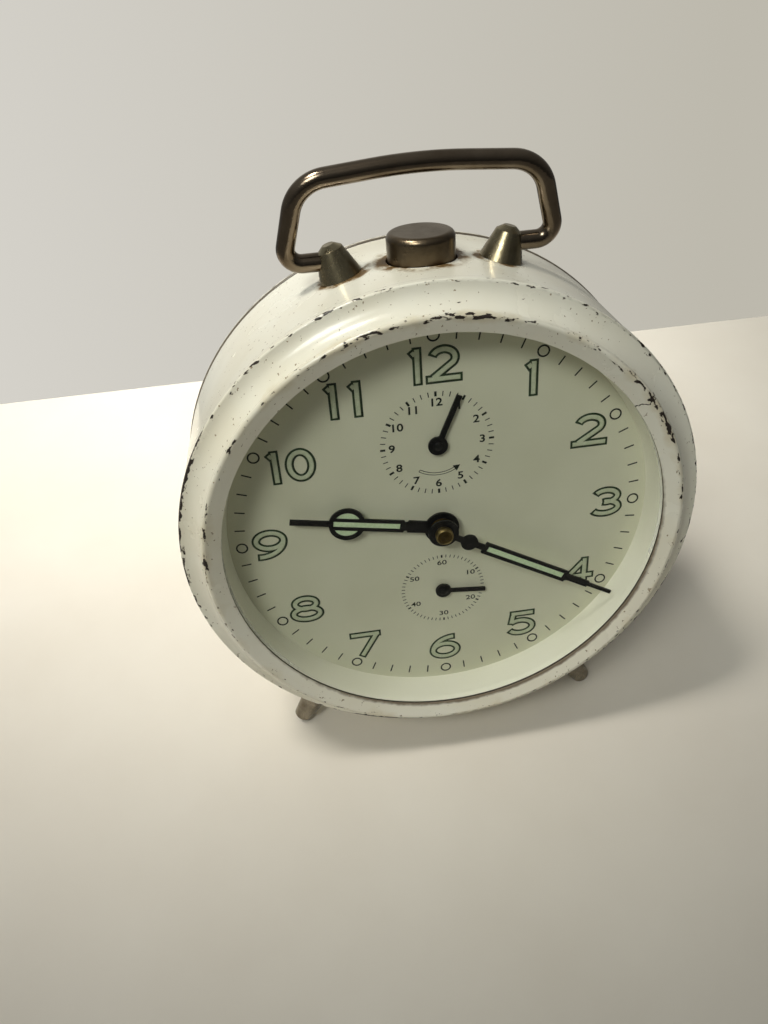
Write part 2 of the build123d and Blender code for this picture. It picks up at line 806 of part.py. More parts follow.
# Hour hand: bar with a ring, slots for the luminous filling and a plain tip
with BuildPart() as hour_hand:
    with BuildSketch(aimed(centre, hour_hand_rise, hour_angle)):
        bar_end = hour_ring_at + hour_ring - hour_ring_band / 2
        Circle(hour_hub)
        with Locations((0, hour_ring_at)):
            Circle(hour_ring)
            Circle(hour_ring - hour_ring_band, mode=Mode.SUBTRACT)
        with Locations((0, bar_end / 2)):
            Rectangle(hour_bar, bar_end)
        with Locations((0, (bar_end + hour_length) / 2)):
            Rectangle(hour_tip_width, hour_length - bar_end)
        slot_end = hour_ring_at + hour_ring - hour_ring_band
        with Locations((0, (hour_slot_start + slot_end) / 2)):
            Rectangle(slot_width, slot_end - hour_slot_start, mode=Mode.SUBTRACT)
        with Locations((-hour_bar / 2, hour_notch_at), (hour_bar / 2, hour_notch_at)):
            Circle(hour_notch, mode=Mode.SUBTRACT)
        Circle(hour_pipe, mode=Mode.SUBTRACT)
    extrude(amount=hand_thickness)
keep(hour_hand, "hour_hand")

# Minute hand: bead, slotted bar and a stepped tip
with BuildPart() as minute_hand:
    with BuildSketch(aimed(centre, minute_hand_rise, minute_angle)):
        Circle(minute_hub)
        with Locations((0, minute_bar_start / 2)):
            Rectangle(minute_neck, minute_bar_start)
        with Locations((0, minute_bead_at)):
            Circle(minute_bead)
        with Locations((0, (minute_bar_start + minute_bar_end) / 2)):
            Rectangle(minute_bar, minute_bar_end - minute_bar_start)
            Rectangle(
                slot_width,
                minute_bar_end - minute_bar_start - 2 * slot_margin,
                mode=Mode.SUBTRACT,
            )
        with Locations((0, (minute_bar_end + minute_step_end) / 2)):
            Rectangle(minute_step_width, minute_step_end - minute_bar_end)
        with Locations((0, (minute_step_end + minute_length) / 2)):
            Rectangle(minute_tip_width, minute_length - minute_step_end)
        Circle(minute_pipe, mode=Mode.SUBTRACT)
    extrude(amount=hand_thickness)
keep(minute_hand, "minute_hand")

# Second hand and alarm hand: sticks with a round boss
for name, spot, angle, hub, width, length, bore in (
    ("second_hand", fourth_centre, second_angle, second_hub, second_width, second_length, pivot_radius),
    ("alarm_hand", alarm_centre, alarm_angle, alarm_hub, alarm_width, alarm_length, pivot_radius),
):
    with BuildPart() as small_hand:
        with BuildSketch(aimed(spot, small_hand_rise, angle)):
            with Locations((0, length / 2)):
                Rectangle(width, length)
            Circle(hub)
        extrude(amount=hand_thickness)
        with BuildSketch(aimed(spot, small_hand_rise + hand_thickness, angle)):
            Circle(hub / 2)
        extrude(amount=hub_boss)
        disc(spot, bore, small_hand_rise, small_hand_top, mode=Mode.SUBTRACT)
    keep(small_hand, name)

# Centre arbor: minute pipe with its driving pinion, long arbor to the setting knob
knob_front = key_front
knob_back = knob_front - knob_thickness
cannon_phase = 0.0
with BuildPart() as centre_arbor:
    disc(centre, long_arbor_radius, knob_back, front_plate_face)
    disc(centre, minute_pipe, front_plate_face + turn_gap, minute_hand_rise + hand_thickness)
    wheel(
        centre,
        motion_pinion_teeth,
        motion_module,
        minute_wheel_back - turn_gap,
        minute_wheel_front + turn_gap,
        cannon_phase,
    )
    nut_top = minute_hand_rise + hand_thickness + hand_nut_height
    disc(centre, long_arbor_radius, front_plate_face, nut_top)
keep(centre_arbor, "centre_arbor")

# Nut that holds the minute hand
with BuildPart() as hand_nut:
    with BuildSketch(DIAL.offset(minute_hand_rise + hand_thickness)):
        Circle(nut_radius)
        Circle(long_arbor_radius, mode=Mode.SUBTRACT)
    extrude(amount=hand_nut_height)
    nut_rim = hand_nut.edges().filter_by(GeomType.CIRCLE).group_by(Axis(DIAL.origin, DIAL.z_dir))[-1]
    chamfer(nut_rim.sort_by(SortBy.RADIUS)[-1], hand_nut_height / 4)
keep(hand_nut, "hand_nut")

# Hour wheel with the pipe that carries the hour hand
minute_phase = meshed(centre, motion_pinion_teeth, cannon_phase, minute_centre, minute_teeth)
motion_pinion_phase = 0.0
hour_phase = meshed(
    minute_centre, motion_pinion_teeth, motion_pinion_phase, centre, hour_teeth
)
with BuildPart() as hour_wheel:
    wheel(centre, hour_teeth, hour_module, hour_wheel_back, hour_wheel_front, hour_phase)
    disc(centre, hour_pipe, hour_wheel_back, hour_hand_rise + hand_thickness)
    bore_top = hour_hand_rise + hand_thickness
    disc(centre, minute_pipe + turn_gap, hour_wheel_back, bore_top, mode=Mode.SUBTRACT)
keep(hour_wheel, "hour_wheel")

# Motion wheel and its pinion, on a post of the front plate
with BuildPart() as minute_wheel:
    wheel(
        minute_centre,
        minute_teeth,
        motion_module,
        minute_wheel_back,
        minute_wheel_front,
        minute_phase,
    )
    wheel(
        minute_centre,
        motion_pinion_teeth,
        hour_module,
        minute_wheel_front,
        hour_wheel_front,
        motion_pinion_phase,
    )
    post_bore = motion_post + turn_gap
    disc(minute_centre, post_bore, minute_wheel_back, hour_wheel_front, mode=Mode.SUBTRACT)
keep(minute_wheel, "minute_wheel")

# Alarm wheel, driven by the hour wheel, loose on the alarm arbor
alarm_phase = meshed(centre, hour_teeth, hour_phase, alarm_centre, hour_teeth)
with BuildPart() as alarm_wheel:
    wheel(
        alarm_centre,
        hour_teeth,
        hour_module,
        hour_wheel_back,
        hour_wheel_front,
        alarm_phase,
        long_arbor_radius + turn_gap,
    )
    crossings(
        alarm_centre, long_arbor_radius, hour_module, hour_teeth, hour_wheel_back, hour_wheel_front
    )
keep(alarm_wheel, "alarm_wheel")

# Alarm arbor, from the alarm hand to its setting knob, with the release cam
with BuildPart() as alarm_arbor:
    disc(alarm_centre, long_arbor_radius, knob_back, small_hand_rise)
    disc(alarm_centre, pivot_radius, small_hand_rise, small_hand_top)
    disc(alarm_centre, cam_radius, minute_wheel_back, minute_wheel_front)
keep(alarm_arbor, "alarm_arbor")

# Setting knobs for the hands and for the alarm
for name, spot in (("hand_set_knob", centre), ("alarm_set_knob", alarm_centre)):
    with BuildPart() as knob:
        with BuildSketch(DIAL.offset(knob_back)):
            with Locations(spot):
                Circle(knob_radius)
                with PolarLocations(knob_radius, knob_flutes):
                    Circle(knob_flute_radius, mode=Mode.SUBTRACT)
                Circle(long_arbor_radius, mode=Mode.SUBTRACT)
        extrude(amount=knob_thickness)
    keep(knob, name)

# Fourth wheel on the seconds arbor
centre_phase = 0.0
third_pinion_phase = meshed(centre, centre_teeth, centre_phase, third_centre, pinion_teeth)
third_phase = 0.0
fourth_pinion_phase = meshed(third_centre, third_teeth, third_phase, fourth_centre, pinion_teeth)
fourth_phase = 0.0
escape_pinion_phase = meshed(fourth_centre, fourth_teeth, fourth_phase, escape_centre, pinion_teeth)
with BuildPart() as fourth_wheel:
    disc(fourth_centre, arbor_radius, back_plate_face + end_shake, small_hand_rise)
    disc(fourth_centre, pivot_radius, small_hand_rise, small_hand_top)
    disc(fourth_centre, pivot_radius, back_plate_back, back_plate_face + end_shake)
    wheel(
        fourth_centre,
        pinion_teeth,
        third_module,
        tier(3) - wheel_thickness - turn_gap,
        tier(3) + turn_gap,
        fourth_pinion_phase,
    )
    wheel(fourth_centre, fourth_teeth, fourth_module, tier(4) - wheel_thickness, tier(4), fourth_phase)
    crossings(
        fourth_centre, arbor_radius, fourth_module, fourth_teeth, tier(4) - wheel_thickness, tier(4)
    )
keep(fourth_wheel, "fourth_wheel")

# Third wheel
with BuildPart() as third_wheel:
    arbor(third_centre)
    wheel(
        third_centre,
        pinion_teeth,
        centre_module,
        tier(0) - wheel_thickness - turn_gap,
        tier(0) + turn_gap,
        third_pinion_phase,
    )
    wheel(third_centre, third_teeth, third_module, tier(3) - wheel_thickness, tier(3), third_phase)
    crossings(
        third_centre, arbor_radius, third_module, third_teeth, tier(3) - wheel_thickness, tier(3)
    )
keep(third_wheel, "third_wheel")

# Centre wheel and its pinion, carried on the centre arbor by a friction spring
great_phase = 0.0
centre_pinion_phase = meshed(great_centre, great_teeth, great_phase, centre, centre_pinion_teeth)
centre_bore = long_arbor_radius + turn_gap
with BuildPart() as centre_wheel:
    wheel(centre, centre_teeth, centre_module, tier(0) - wheel_thickness, tier(0), centre_phase)
    pinion_tip = great_module * (centre_pinion_teeth / 2 + addendum)
    crossings(centre, pinion_tip, centre_module, centre_teeth, tier(0) - wheel_thickness, tier(0))
    wheel(
        centre,
        centre_pinion_teeth,
        great_module,
        tier(1) - wheel_thickness - turn_gap,
        tier(0) - wheel_thickness,
        centre_pinion_phase,
    )
    pinion_end = tier(1) - wheel_thickness - turn_gap
    disc(centre, centre_bore, pinion_end, tier(0), mode=Mode.SUBTRACT)
keep(centre_wheel, "centre_wheel")

# Friction spring that presses the centre wheel against the arbor's collar
with BuildPart() as friction_spring:
    disc(centre, clutch_radius, pinion_end - 2 * tier_gap, pinion_end - turn_gap)
    disc(centre, long_arbor_radius, pinion_end - 2 * tier_gap, pinion_end, mode=Mode.SUBTRACT)
keep(friction_spring, "friction_spring")

# Escape wheel
with BuildPart() as escape_wheel:
    arbor(escape_centre)
    wheel(
        escape_centre,
        pinion_teeth,
        fourth_module,
        tier(4) - wheel_thickness - turn_gap,
        tier(4) + turn_gap,
        escape_pinion_phase,
    )
    saw_wheel(
        escape_centre,
        escape_teeth,
        escape_radius,
        escape_tooth,
        tier(2) - wheel_thickness,
        tier(2),
    )
keep(escape_wheel, "escape_wheel")


def rocker(spot, toward_spot, reach, rise, front):
    """Two-armed lever whose rounded ends straddle a toothed wheel."""
    bearing = 90 - atan2(toward_spot[1] - spot[1], toward_spot[0] - spot[0]) * 180 / pi
    slope = atan2(rise, reach) * 180 / pi
    with BuildSketch(aimed(spot, front - wheel_thickness, bearing)) as arms:
        Circle(rocker_arm_width)
        for side in (-1, 1):
            with Locations((side * reach / 2, rise / 2)):
                SlotCenterToCenter(hypot(reach, rise), rocker_arm_width, rotation=side * slope)
    extrude(arms.sketch, amount=wheel_thickness)


def finger(spot, angle, length, width, front):
    """Straight arm from an arbor, in a direction given in degrees."""
    with BuildSketch(aimed(spot, front - wheel_thickness, 90 - angle)) as bar:
        Circle(width)
        with Locations((0, length / 2)):
            Rectangle(width, length)
    extrude(bar.sketch, amount=wheel_thickness)


# Pallet lever with the tail that meets the balance
pallet_tail = balance_distance - roller_radius - pass_gap
with BuildPart() as pallet_lever:
    arbor(pallet_centre)
    rocker(pallet_centre, escape_centre, pallet_reach, pallet_rise, tier(2))
    finger(pallet_centre, pallet_angle, pallet_tail, rocker_arm_width, tier(2))
keep(pallet_lever, "pallet_lever")

# Balance wheel on its staff, with the roller that works with the lever
with BuildPart() as balance_wheel:
    arbor(balance_centre)
    disc(balance_centre, roller_radius, tier(2) - wheel_thickness, tier(2))
    with BuildSketch(DIAL.offset(tier(5))):
        with Locations(balance_centre):
            Circle(balance_radius)
            Circle(balance_radius - balance_rim, mode=Mode.SUBTRACT)
            Rectangle(2 * balance_radius - balance_rim, balance_spoke)
    extrude(amount=wheel_thickness)
keep(balance_wheel, "balance_wheel")

# Hairspring round the balance staff
with BuildPart() as hairspring:
    spiral(
        balance_centre,
        arbor_radius + pass_gap,
        hairspring_pitch,
        hairspring_turns,
        hairspring_thickness,
        tier(7) - wheel_thickness,
        tier(7),
    )
keep(hairspring, "hairspring")

# Regulator lever behind the back plate, with a bent tab through the rear cover
regulator_front = back_plate_back - end_shake
with BuildPart() as regulator_lever:
    with BuildSketch(DIAL.offset(regulator_front - wheel_thickness)):
        with Locations((balance_centre[0], balance_centre[1] + regulator_reach / 2)):
            Rectangle(regulator_width, regulator_reach)
        with Locations(balance_centre):
            Circle(2 * regulator_width)
    extrude(amount=wheel_thickness)
    tab_spot = (balance_centre[0], balance_centre[1] + regulator_reach)
    disc(tab_spot, regulator_width / 2, dish_back - knob_stand_off, regulator_front)
    disc(
        balance_centre,
        pivot_radius + turn_gap,
        regulator_front - wheel_thickness,
        regulator_front,
        mode=Mode.SUBTRACT,
    )
keep(regulator_lever, "regulator_lever")


# Winding sets: great wheel, click, arbor with ratchet, mainspring and key
def winding_arbor(spot):
    """Arbor that carries a ratchet and, outside the case, a key."""
    disc(spot, winding_radius, key_front - key_hub_length, front_plate_back - end_shake)
    disc(spot, arbor_radius, front_plate_back - end_shake, front_plate_face)
    saw_wheel(
        spot, ratchet_teeth, ratchet_radius, ratchet_tooth, tier(2) - wheel_thickness, tier(2)
    )


def click(spot):
    """Pawl on a great wheel, just clear of the ratchet's teeth."""
    reach = ratchet_radius + click_radius + pass_gap
    with BuildSketch(DIAL.offset(tier(2) - wheel_thickness)) as pawl:
        with Locations(toward(spot, reach, 90)):
            Circle(click_radius)
        with Locations(toward(spot, reach, 60), toward(spot, reach, 75)):
            Circle(0.8 * click_radius)
    extrude(pawl.sketch, amount=wheel_thickness + tier_gap - turn_gap)


def winding_key(spot):
    """Wing key: a hub on the arbor and a flat plate with two eyes."""
    hub_back = key_front - key_hub_length
    disc(spot, key_hub, hub_back, key_front)
    wings = Plane(origin=place(spot, hub_back), x_dir=DIAL.x_dir, z_dir=DIAL.y_dir)
    with BuildSketch(wings) as plate:
        with Locations((0, key_height / 2)):
            SlotOverall(key_width, key_height)
            with Locations((-key_width / 2 + key_height / 2, 0), (key_width / 2 - key_height / 2, 0)):
                Circle(key_eye, mode=Mode.SUBTRACT)
    extrude(plate.sketch, amount=key_thickness / 2, both=True)
    disc(spot, winding_radius, hub_back, key_front, mode=Mode.SUBTRACT)


great_bore = winding_radius + turn_gap
click_end = ratchet_radius + pass_gap + 2 * click_radius
spring_back = tier(2 + spring_tiers)
spring_front = tier(3)
scape_phase = meshed(alarm_great_centre, alarm_great_teeth, 0.0, scape_centre, pinion_teeth)
with BuildPart() as great_wheel:
    wheel(
        great_centre, great_teeth, great_module, tier(1) - wheel_thickness, tier(1), great_phase, great_bore
    )
    crossings(
        great_centre, click_end, great_module, great_teeth, tier(1) - wheel_thickness, tier(1), 6
    )
keep(great_wheel, "great_wheel")
with BuildPart() as alarm_great_wheel:
    wheel(
        alarm_great_centre,
        alarm_great_teeth,
        alarm_module,
        tier(1) - wheel_thickness,
        tier(1),
        0.0,
        great_bore,
    )
    crossings(
        alarm_great_centre,
        click_end,
        alarm_module,
        alarm_great_teeth,
        tier(1) - wheel_thickness,
        tier(1),
        6,
    )
keep(alarm_great_wheel, "alarm_great_wheel")
for prefix, spot, turns, pitch in (
    ("time", great_centre, great_spring_turns, great_spring_pitch),
    ("alarm", alarm_great_centre, alarm_spring_turns, alarm_spring_pitch),
):
    with BuildPart() as ratchet_arbor:
        winding_arbor(spot)
    keep(ratchet_arbor, prefix + "_winding_arbor")
    with BuildPart() as pawl_piece:
        click(spot)
    keep(pawl_piece, prefix + "_click")
    with BuildPart() as mainspring:
        start = winding_radius + pass_gap + spring_thickness / 2
        spiral(spot, start, pitch, turns, spring_thickness, spring_back, spring_front)
    keep(mainspring, prefix + "_mainspring")
    with BuildPart() as key:
        winding_key(spot)
    keep(key, prefix + "_key")

# Alarm scape wheel
with BuildPart() as alarm_scape_wheel:
    arbor(scape_centre)
    wheel(
        scape_centre,
        pinion_teeth,
        alarm_module,
        tier(1) - wheel_thickness - turn_gap,
        tier(1) + turn_gap,
        scape_phase,
    )
    saw_wheel(
        scape_centre, scape_teeth, scape_radius, scape_tooth, tier(0) - wheel_thickness, tier(0)
    )
keep(alarm_scape_wheel, "alarm_scape_wheel")

# Hammer: beater inside the plates, arm and head behind them, striking the rear cover's dish
arm_front = back_plate_back - end_shake
hammer_bearing = atan2(hammer_centre[1], hammer_centre[0]) * 180 / pi + 90
head_spot = toward(hammer_centre, hammer_arm, hammer_bearing)
with BuildPart() as alarm_hammer:
    disc(hammer_centre, arbor_radius, arm_front - wheel_thickness, front_plate_back - end_shake)
    disc(hammer_centre, pivot_radius, front_plate_back - end_shake, front_plate_face)
    rocker(hammer_centre, scape_centre, beater_reach, beater_rise, tier(0))
    finger(hammer_centre, 90, hammer_tail, rocker_arm_width, tier(stop_tier))
    finger(hammer_centre, hammer_bearing, hammer_arm, hammer_arm_width, arm_front)
    disc(head_spot, hammer_head, arm_front - wheel_thickness - hammer_head_length, arm_front)
keep(alarm_hammer, "alarm_hammer")
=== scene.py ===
# %% [markdown]
# # A wind-up alarm clock, dressed
# The solids of the clock are already exact, so this lesson adds what solids can't say: chipped
# enamel, worn plating, the printed dial, the luminous fillings of the hands and the light of the
# room. Everything is in metres, in the frame of the solids: the floor is Z = 0 and the dial looks
# towards -Y, leaning back a little.

# %% Load the solids
import json
from math import atan2, cos, degrees, pi, radians, sin

import bmesh
import bpy
from mathutils import Matrix, Vector


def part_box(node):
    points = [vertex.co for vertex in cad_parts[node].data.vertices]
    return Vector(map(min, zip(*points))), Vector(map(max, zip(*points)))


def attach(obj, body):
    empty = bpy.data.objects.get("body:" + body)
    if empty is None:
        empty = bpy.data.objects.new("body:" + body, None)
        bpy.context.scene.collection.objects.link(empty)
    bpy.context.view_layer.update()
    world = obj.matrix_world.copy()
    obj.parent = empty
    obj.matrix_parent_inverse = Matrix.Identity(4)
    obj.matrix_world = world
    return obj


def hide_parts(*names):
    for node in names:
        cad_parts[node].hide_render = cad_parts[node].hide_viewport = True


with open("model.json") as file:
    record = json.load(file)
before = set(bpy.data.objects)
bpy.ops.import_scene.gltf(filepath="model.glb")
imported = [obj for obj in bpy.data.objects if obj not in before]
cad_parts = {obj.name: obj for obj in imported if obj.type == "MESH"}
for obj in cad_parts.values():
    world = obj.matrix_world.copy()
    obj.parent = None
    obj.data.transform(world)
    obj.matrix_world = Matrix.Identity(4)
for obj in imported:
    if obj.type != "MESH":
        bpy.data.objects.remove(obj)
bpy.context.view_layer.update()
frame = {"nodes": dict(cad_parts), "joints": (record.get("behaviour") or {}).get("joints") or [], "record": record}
nodes = frame["nodes"]
joints = {joint["name"]: joint for joint in frame["joints"]}

# %% [markdown]
# ## The clock's own axes
# The dial leans, so its places are easier to give on its own axes: right, up the dial and out
# towards the viewer. The minute hand's joint already holds the dial's centre and its normal, so
# they are read from there and never typed again.

# %% Axes of the dial
MM = 0.001
RIGHT = Vector((1, 0, 0))
OUT = -Vector(joints["minute_turn"]["axis"])
UP = OUT.cross(RIGHT)
DIAL_CENTRE = Vector(joints["minute_turn"]["pos_m"])
ALARM_CENTRE = Vector(joints["alarm_setting_turn"]["pos_m"])
SECONDS_CENTRE = Vector(joints["seconds_turn"]["pos_m"])


def on_dial(centre, turn=0.0):
    """Matrix from (right, up, out) millimetres round a centre, turned clockwise, to the scene."""
    axes = Matrix((RIGHT, UP, OUT)).transposed().to_4x4()
    place = Matrix.Translation(centre) @ axes @ Matrix.Rotation(-turn, 4, "Z")
    return place @ Matrix.Scale(MM, 4)


print("dial leans back", round(degrees(atan2(OUT.z, -OUT.y)), 2), "degrees")

# %% [markdown]
# ## The camera
# The picture was taken from close by, above and a little to the left. The eye's place and its
# directions were worked out from the printed hour ring, which is a circle in truth and an ellipse
# in the picture. The long side of the frame is its height, so the lens follows from the height in
# pixels.

# %% Camera
FRAME_HEIGHT = 1024
FOCAL_PIXELS = 821.15
SENSOR = 36.0
EYE = Vector((-0.02285, -0.13476, 0.18346))
LOOK_RIGHT = Vector((0.98988, -0.13512, -0.04338))
LOOK_DOWN = Vector((-0.12616, -0.69790, -0.70499))

eye_data = bpy.data.cameras.new("eye")
eye_data.sensor_width = SENSOR
eye_data.lens = FOCAL_PIXELS / FRAME_HEIGHT * SENSOR
eye_data.clip_start = 0.01
eye = bpy.data.objects.new("eye", eye_data)
bpy.context.scene.collection.objects.link(eye)
look_up = -LOOK_DOWN
look_back = LOOK_RIGHT.cross(look_up)
looking = Matrix((LOOK_RIGHT, look_up, look_back)).transposed().to_4x4()
eye.matrix_world = Matrix.Translation(EYE) @ looking
bpy.context.scene.camera = eye
print("lens", round(eye_data.lens, 2), "mm")

# %% [markdown]
# ## Colours
# A shader wants linear light, while a colour read off a picture is in display values. One small
# function turns one into the other, so that every colour below can be read as it looks.


# %% Colour helper
def shade(red, green, blue):
    """Linear colour from display values of 0 to 255."""
    linear = []
    for value in (red, green, blue):
        part = value / 255
        linear.append(part / 12.92 if part <= 0.04045 else ((part + 0.055) / 1.055) ** 2.4)
    return (*linear, 1.0)


print("middle grey in linear light:", round(shade(128, 128, 128)[0], 3))

# %% [markdown]
# ## Mixing finishes
# A finish here is one Principled shader with a few procedural textures before it. Values that are
# the same all over the surface sit on the shader's own sockets. A few short helpers keep the
# recipes readable: one starts a finish, one adds a node, others do sums between sockets.


# %% Finish helpers
def finish(name, colour, roughness, metallic=0.0):
    """A new finish with even values on its shader."""
    material = bpy.data.materials.new(name)
    material.use_nodes = True
    shader = material.node_tree.nodes["Principled BSDF"]
    shader.inputs["Base Color"].default_value = colour
    shader.inputs["Roughness"].default_value = roughness
    shader.inputs["Metallic"].default_value = metallic
    return material


def shader_of(material):
    """The finish's Principled shader."""
    return material.node_tree.nodes["Principled BSDF"]


def plug(tree, socket, value):
    """Link a socket, or set it where the value is plain."""
    if isinstance(value, bpy.types.NodeSocket):
        tree.links.new(value, socket)
    else:
        socket.default_value = value


def add(material, kind, inputs=(), **settings):
    """A node with its settings, and its inputs as (name, value or socket) pairs."""
    node = material.node_tree.nodes.new("ShaderNode" + kind)
    for key, value in settings.items():
        setattr(node, key, value)
    for key, value in inputs:
        plug(material.node_tree, node.inputs[key], value)
    return node


def calc(material, operation, first, second=0.0, clamp=False):
    """The result of one sum between sockets or numbers."""
    pairs = ((0, first), (1, second))
    return add(material, "Math", pairs, operation=operation, use_clamp=clamp).outputs[0]


def blend_colours(material, factor, first, second):
    """A colour between two others."""
    pairs = ((0, factor), (6, first), (7, second))
    return add(material, "Mix", pairs, data_type="RGBA").outputs[2]


def ramp(material, factor, low, high):
    """0 at low and 1 at high, with a straight slope between."""
    pairs = (("Value", factor), ("From Min", low), ("From Max", high))
    return add(material, "MapRange", pairs, clamp=True).outputs[0]


def noise(material, scale, detail=3.0, roughness=0.55, where=None):
    """Cloudy noise on the piece's own coordinates, with so many lumps to the metre."""
    if where is None:
        where = add(material, "TexCoord").outputs["Object"]
    pairs = (("Vector", where), ("Scale", scale), ("Detail", detail), ("Roughness", roughness))
    return add(material, "TexNoise", pairs).outputs["Fac"]


def use(material, socket, value):
    """Feed one socket of the finish's shader."""
    material.node_tree.links.new(value, shader_of(material).inputs[socket])


def dent(material, height, depth):
    """Bump from a height of 0 to 1, as deep as given in metres."""
    pairs = (("Height", height), ("Strength", 1.0), ("Distance", depth))
    use(material, "Normal", add(material, "Bump", pairs).outputs["Normal"])


# %% [markdown]
# ## Chipped cream enamel
# The case is steel sheet with baked enamel. Enamel breaks where it is bent or knocked: along the
# bezel's ridge, along both rims and at the seams, and the dark iron shows. The wear could be
# painted by hand, but the rims are circles round one axis, so a formula finds them: it gives each
# point its distance from a circle, and noise decides, near the circle, whether a flake is gone. A
# ramp round the clock makes some stretches worse than others, as on the real one.

# %% Enamel: where a point lies on the clock
CREAM = shade(239, 237, 222)
CREAM_AGED = shade(228, 222, 200)

enamel = finish("cream_enamel", CREAM, 0.24)
spot = add(enamel, "TexCoord").outputs["Object"]
from_centre = add(
    enamel, "VectorMath", ((0, spot), (1, DIAL_CENTRE)), operation="SUBTRACT"
).outputs[0]


def along(direction):
    """How far a point of the enamel lies from the dial's centre in a direction, in millimetres."""
    pairs = ((0, from_centre), (1, direction / MM))
    return add(enamel, "VectorMath", pairs, operation="DOT_PRODUCT").outputs["Value"]


def times(first, second):
    """Two masks of the enamel together, or one made weaker."""
    return calc(enamel, "MULTIPLY", first, second)


def plus(first, second):
    """Two levels of the enamel added up."""
    return calc(enamel, "ADD", first, second)


def strongest(mask, *others):
    """The strongest of several masks of the enamel."""
    for other in others:
        mask = calc(enamel, "MAXIMUM", mask, other)
    return mask


def length_of(first, second):
    """Length of a step given by its two sides."""
    squares = calc(enamel, "POWER", first, 2.0), calc(enamel, "POWER", second, 2.0)
    return calc(enamel, "SQRT", plus(*squares))


across, upward, outward = along(RIGHT), along(UP), along(OUT)
reach = length_of(across, upward)
round_clock = calc(enamel, "DIVIDE", calc(enamel, "ARCTAN2", across, upward), 2 * pi)
round_clock = plus(round_clock, 0.5)


def near_circle(radius, height, width):
    """1 on a circle round the dial's axis, falling to 0 at a distance from it."""
    aside = calc(enamel, "SUBTRACT", reach, radius)
    above = calc(enamel, "SUBTRACT", outward, height)
    away = calc(enamel, "DIVIDE", length_of(aside, above), width)
    return calc(enamel, "SUBTRACT", 1.0, away, clamp=True)


def worn_round(stops):
    """How worn each direction is: stops are (degrees clockwise from 12, wear)."""
    node = add(enamel, "ValToRGB", (("Fac", round_clock),))
    marks = node.color_ramp.elements
    while len(marks) < len(stops):
        marks.new(0.5)
    for mark, (angle, wear) in zip(marks, stops):
        mark.position = (angle + 180) / 360
        mark.color = (wear, wear, wear, 1)
    return node.outputs["Color"]


print("nodes that tell the place:", len(enamel.node_tree.nodes))

# %% Enamel: flakes along the edges
ROUND_LENGTH = 130.0
FLAKE_LUMPS = 1.45
RIDGE, RIM, BACK_RIM = (48.6, 9.1), (53.5, 4.65), (53.7, -27.3)
WEAR_PULL = 0.33
FRINGE_FROM, CHIP_FROM, CHIP_TO = 0.735, 0.775, 0.785

flake_pairs = ((0, times(round_clock, ROUND_LENGTH)), (1, reach), (2, outward))
flake_spot = add(enamel, "CombineXYZ", flake_pairs).outputs[0]
flakes = noise(enamel, FLAKE_LUMPS, 3.0, 0.5, flake_spot)
ridge_wear = worn_round((
    (-180, 0.40), (-105, 0.45), (-90, 0.70), (-85, 1.10), (-80, 0.60), (-40, 0.48), (-24, 0.70),
    (-20, 1.00), (-13, 0.92), (-8, 0.72), (0, 0.85), (4, 1.10), (12, 0.98), (16, 0.50), (26, 0.55),
    (30, 1.05), (34, 0.55), (44, 0.62), (47, 0.98), (50, 0.72), (54, 1.12), (64, 1.15), (69, 0.55),
    (84, 0.72), (100, 0.45), (180, 0.40),
))
rim_wear = worn_round((
    (-180, 1.20), (-172, 1.50), (-157, 1.40), (-150, 0.75), (-112, 0.70), (-100, 1.05),
    (-78, 1.20), (-74, 1.50), (-63, 1.55), (-57, 0.65), (0, 0.60), (60, 0.75), (100, 0.65),
    (130, 0.95), (180, 1.20),
))
back_wear = worn_round((
    (-180, 0.6), (-60, 0.9), (-40, 1.1), (-10, 1.2), (0, 0.8), (60, 0.9), (180, 0.6),
))
worn = strongest(
    times(near_circle(*RIDGE, 1.15), ridge_wear),
    times(near_circle(*RIM, 1.0), rim_wear),
    times(near_circle(*BACK_RIM, 0.7), back_wear),
)
flake_level = plus(flakes, times(worn, WEAR_PULL))
chipped = ramp(enamel, flake_level, CHIP_FROM, CHIP_TO)
chip_edge = ramp(enamel, flake_level, FRINGE_FROM, CHIP_FROM)
print("nodes for the flakes:", len(enamel.node_tree.nodes))

# %% Enamel: specks, seams and one crack
SPECK_LUMPS, SPECK_FROM, SPECK_TO = 1300, 0.755, 0.775
PATCH_LUMPS, PATCH_SHARE = 60, 0.12
FRONT_SEAM, REAR_SEAM = (53.5, 3.2), (53.5, -26.12)
CRACK_AT = 54.5 / 360 + 0.5
CRACK_HALF, CRACK_WOBBLE, CRACK_FROM = 0.0005, 0.012, 7.6

patchy = times(noise(enamel, PATCH_LUMPS), PATCH_SHARE)
specks = ramp(enamel, plus(noise(enamel, SPECK_LUMPS, 2.0), patchy), SPECK_FROM, SPECK_TO)
seams = strongest(near_circle(*FRONT_SEAM, 0.30), near_circle(*REAR_SEAM, 0.85))
seam_line = ramp(enamel, seams, 0.2, 0.5)
crack_side = calc(enamel, "SUBTRACT", round_clock, CRACK_AT)
wobble = times(calc(enamel, "SUBTRACT", noise(enamel, 500), 0.5), CRACK_WOBBLE)
crack_side = calc(enamel, "ABSOLUTE", plus(crack_side, wobble))
crack_front = calc(enamel, "GREATER_THAN", outward, CRACK_FROM)
crack = times(calc(enamel, "LESS_THAN", crack_side, CRACK_HALF), crack_front)
print("nodes with the seams:", len(enamel.node_tree.nodes))

# %% [markdown]
# A dark line runs round the bezel's lip where it meets the pane: it is painted shade of that
# crease, in the iron colour of the chips. The seat of the pane never dries, so a brown fringe of
# dirt runs beside it, worst at the bottom and on the right. Along the ridge the enamel has a faint
# tan bloom where it was rubbed thin. All three are found by their distance from a circle, as the
# flakes are, only wider and softer.

# %% Enamel: the lip and the ridge
LIP, LIP_EDGE = (45.3, 7.3), (45.3, 7.7)
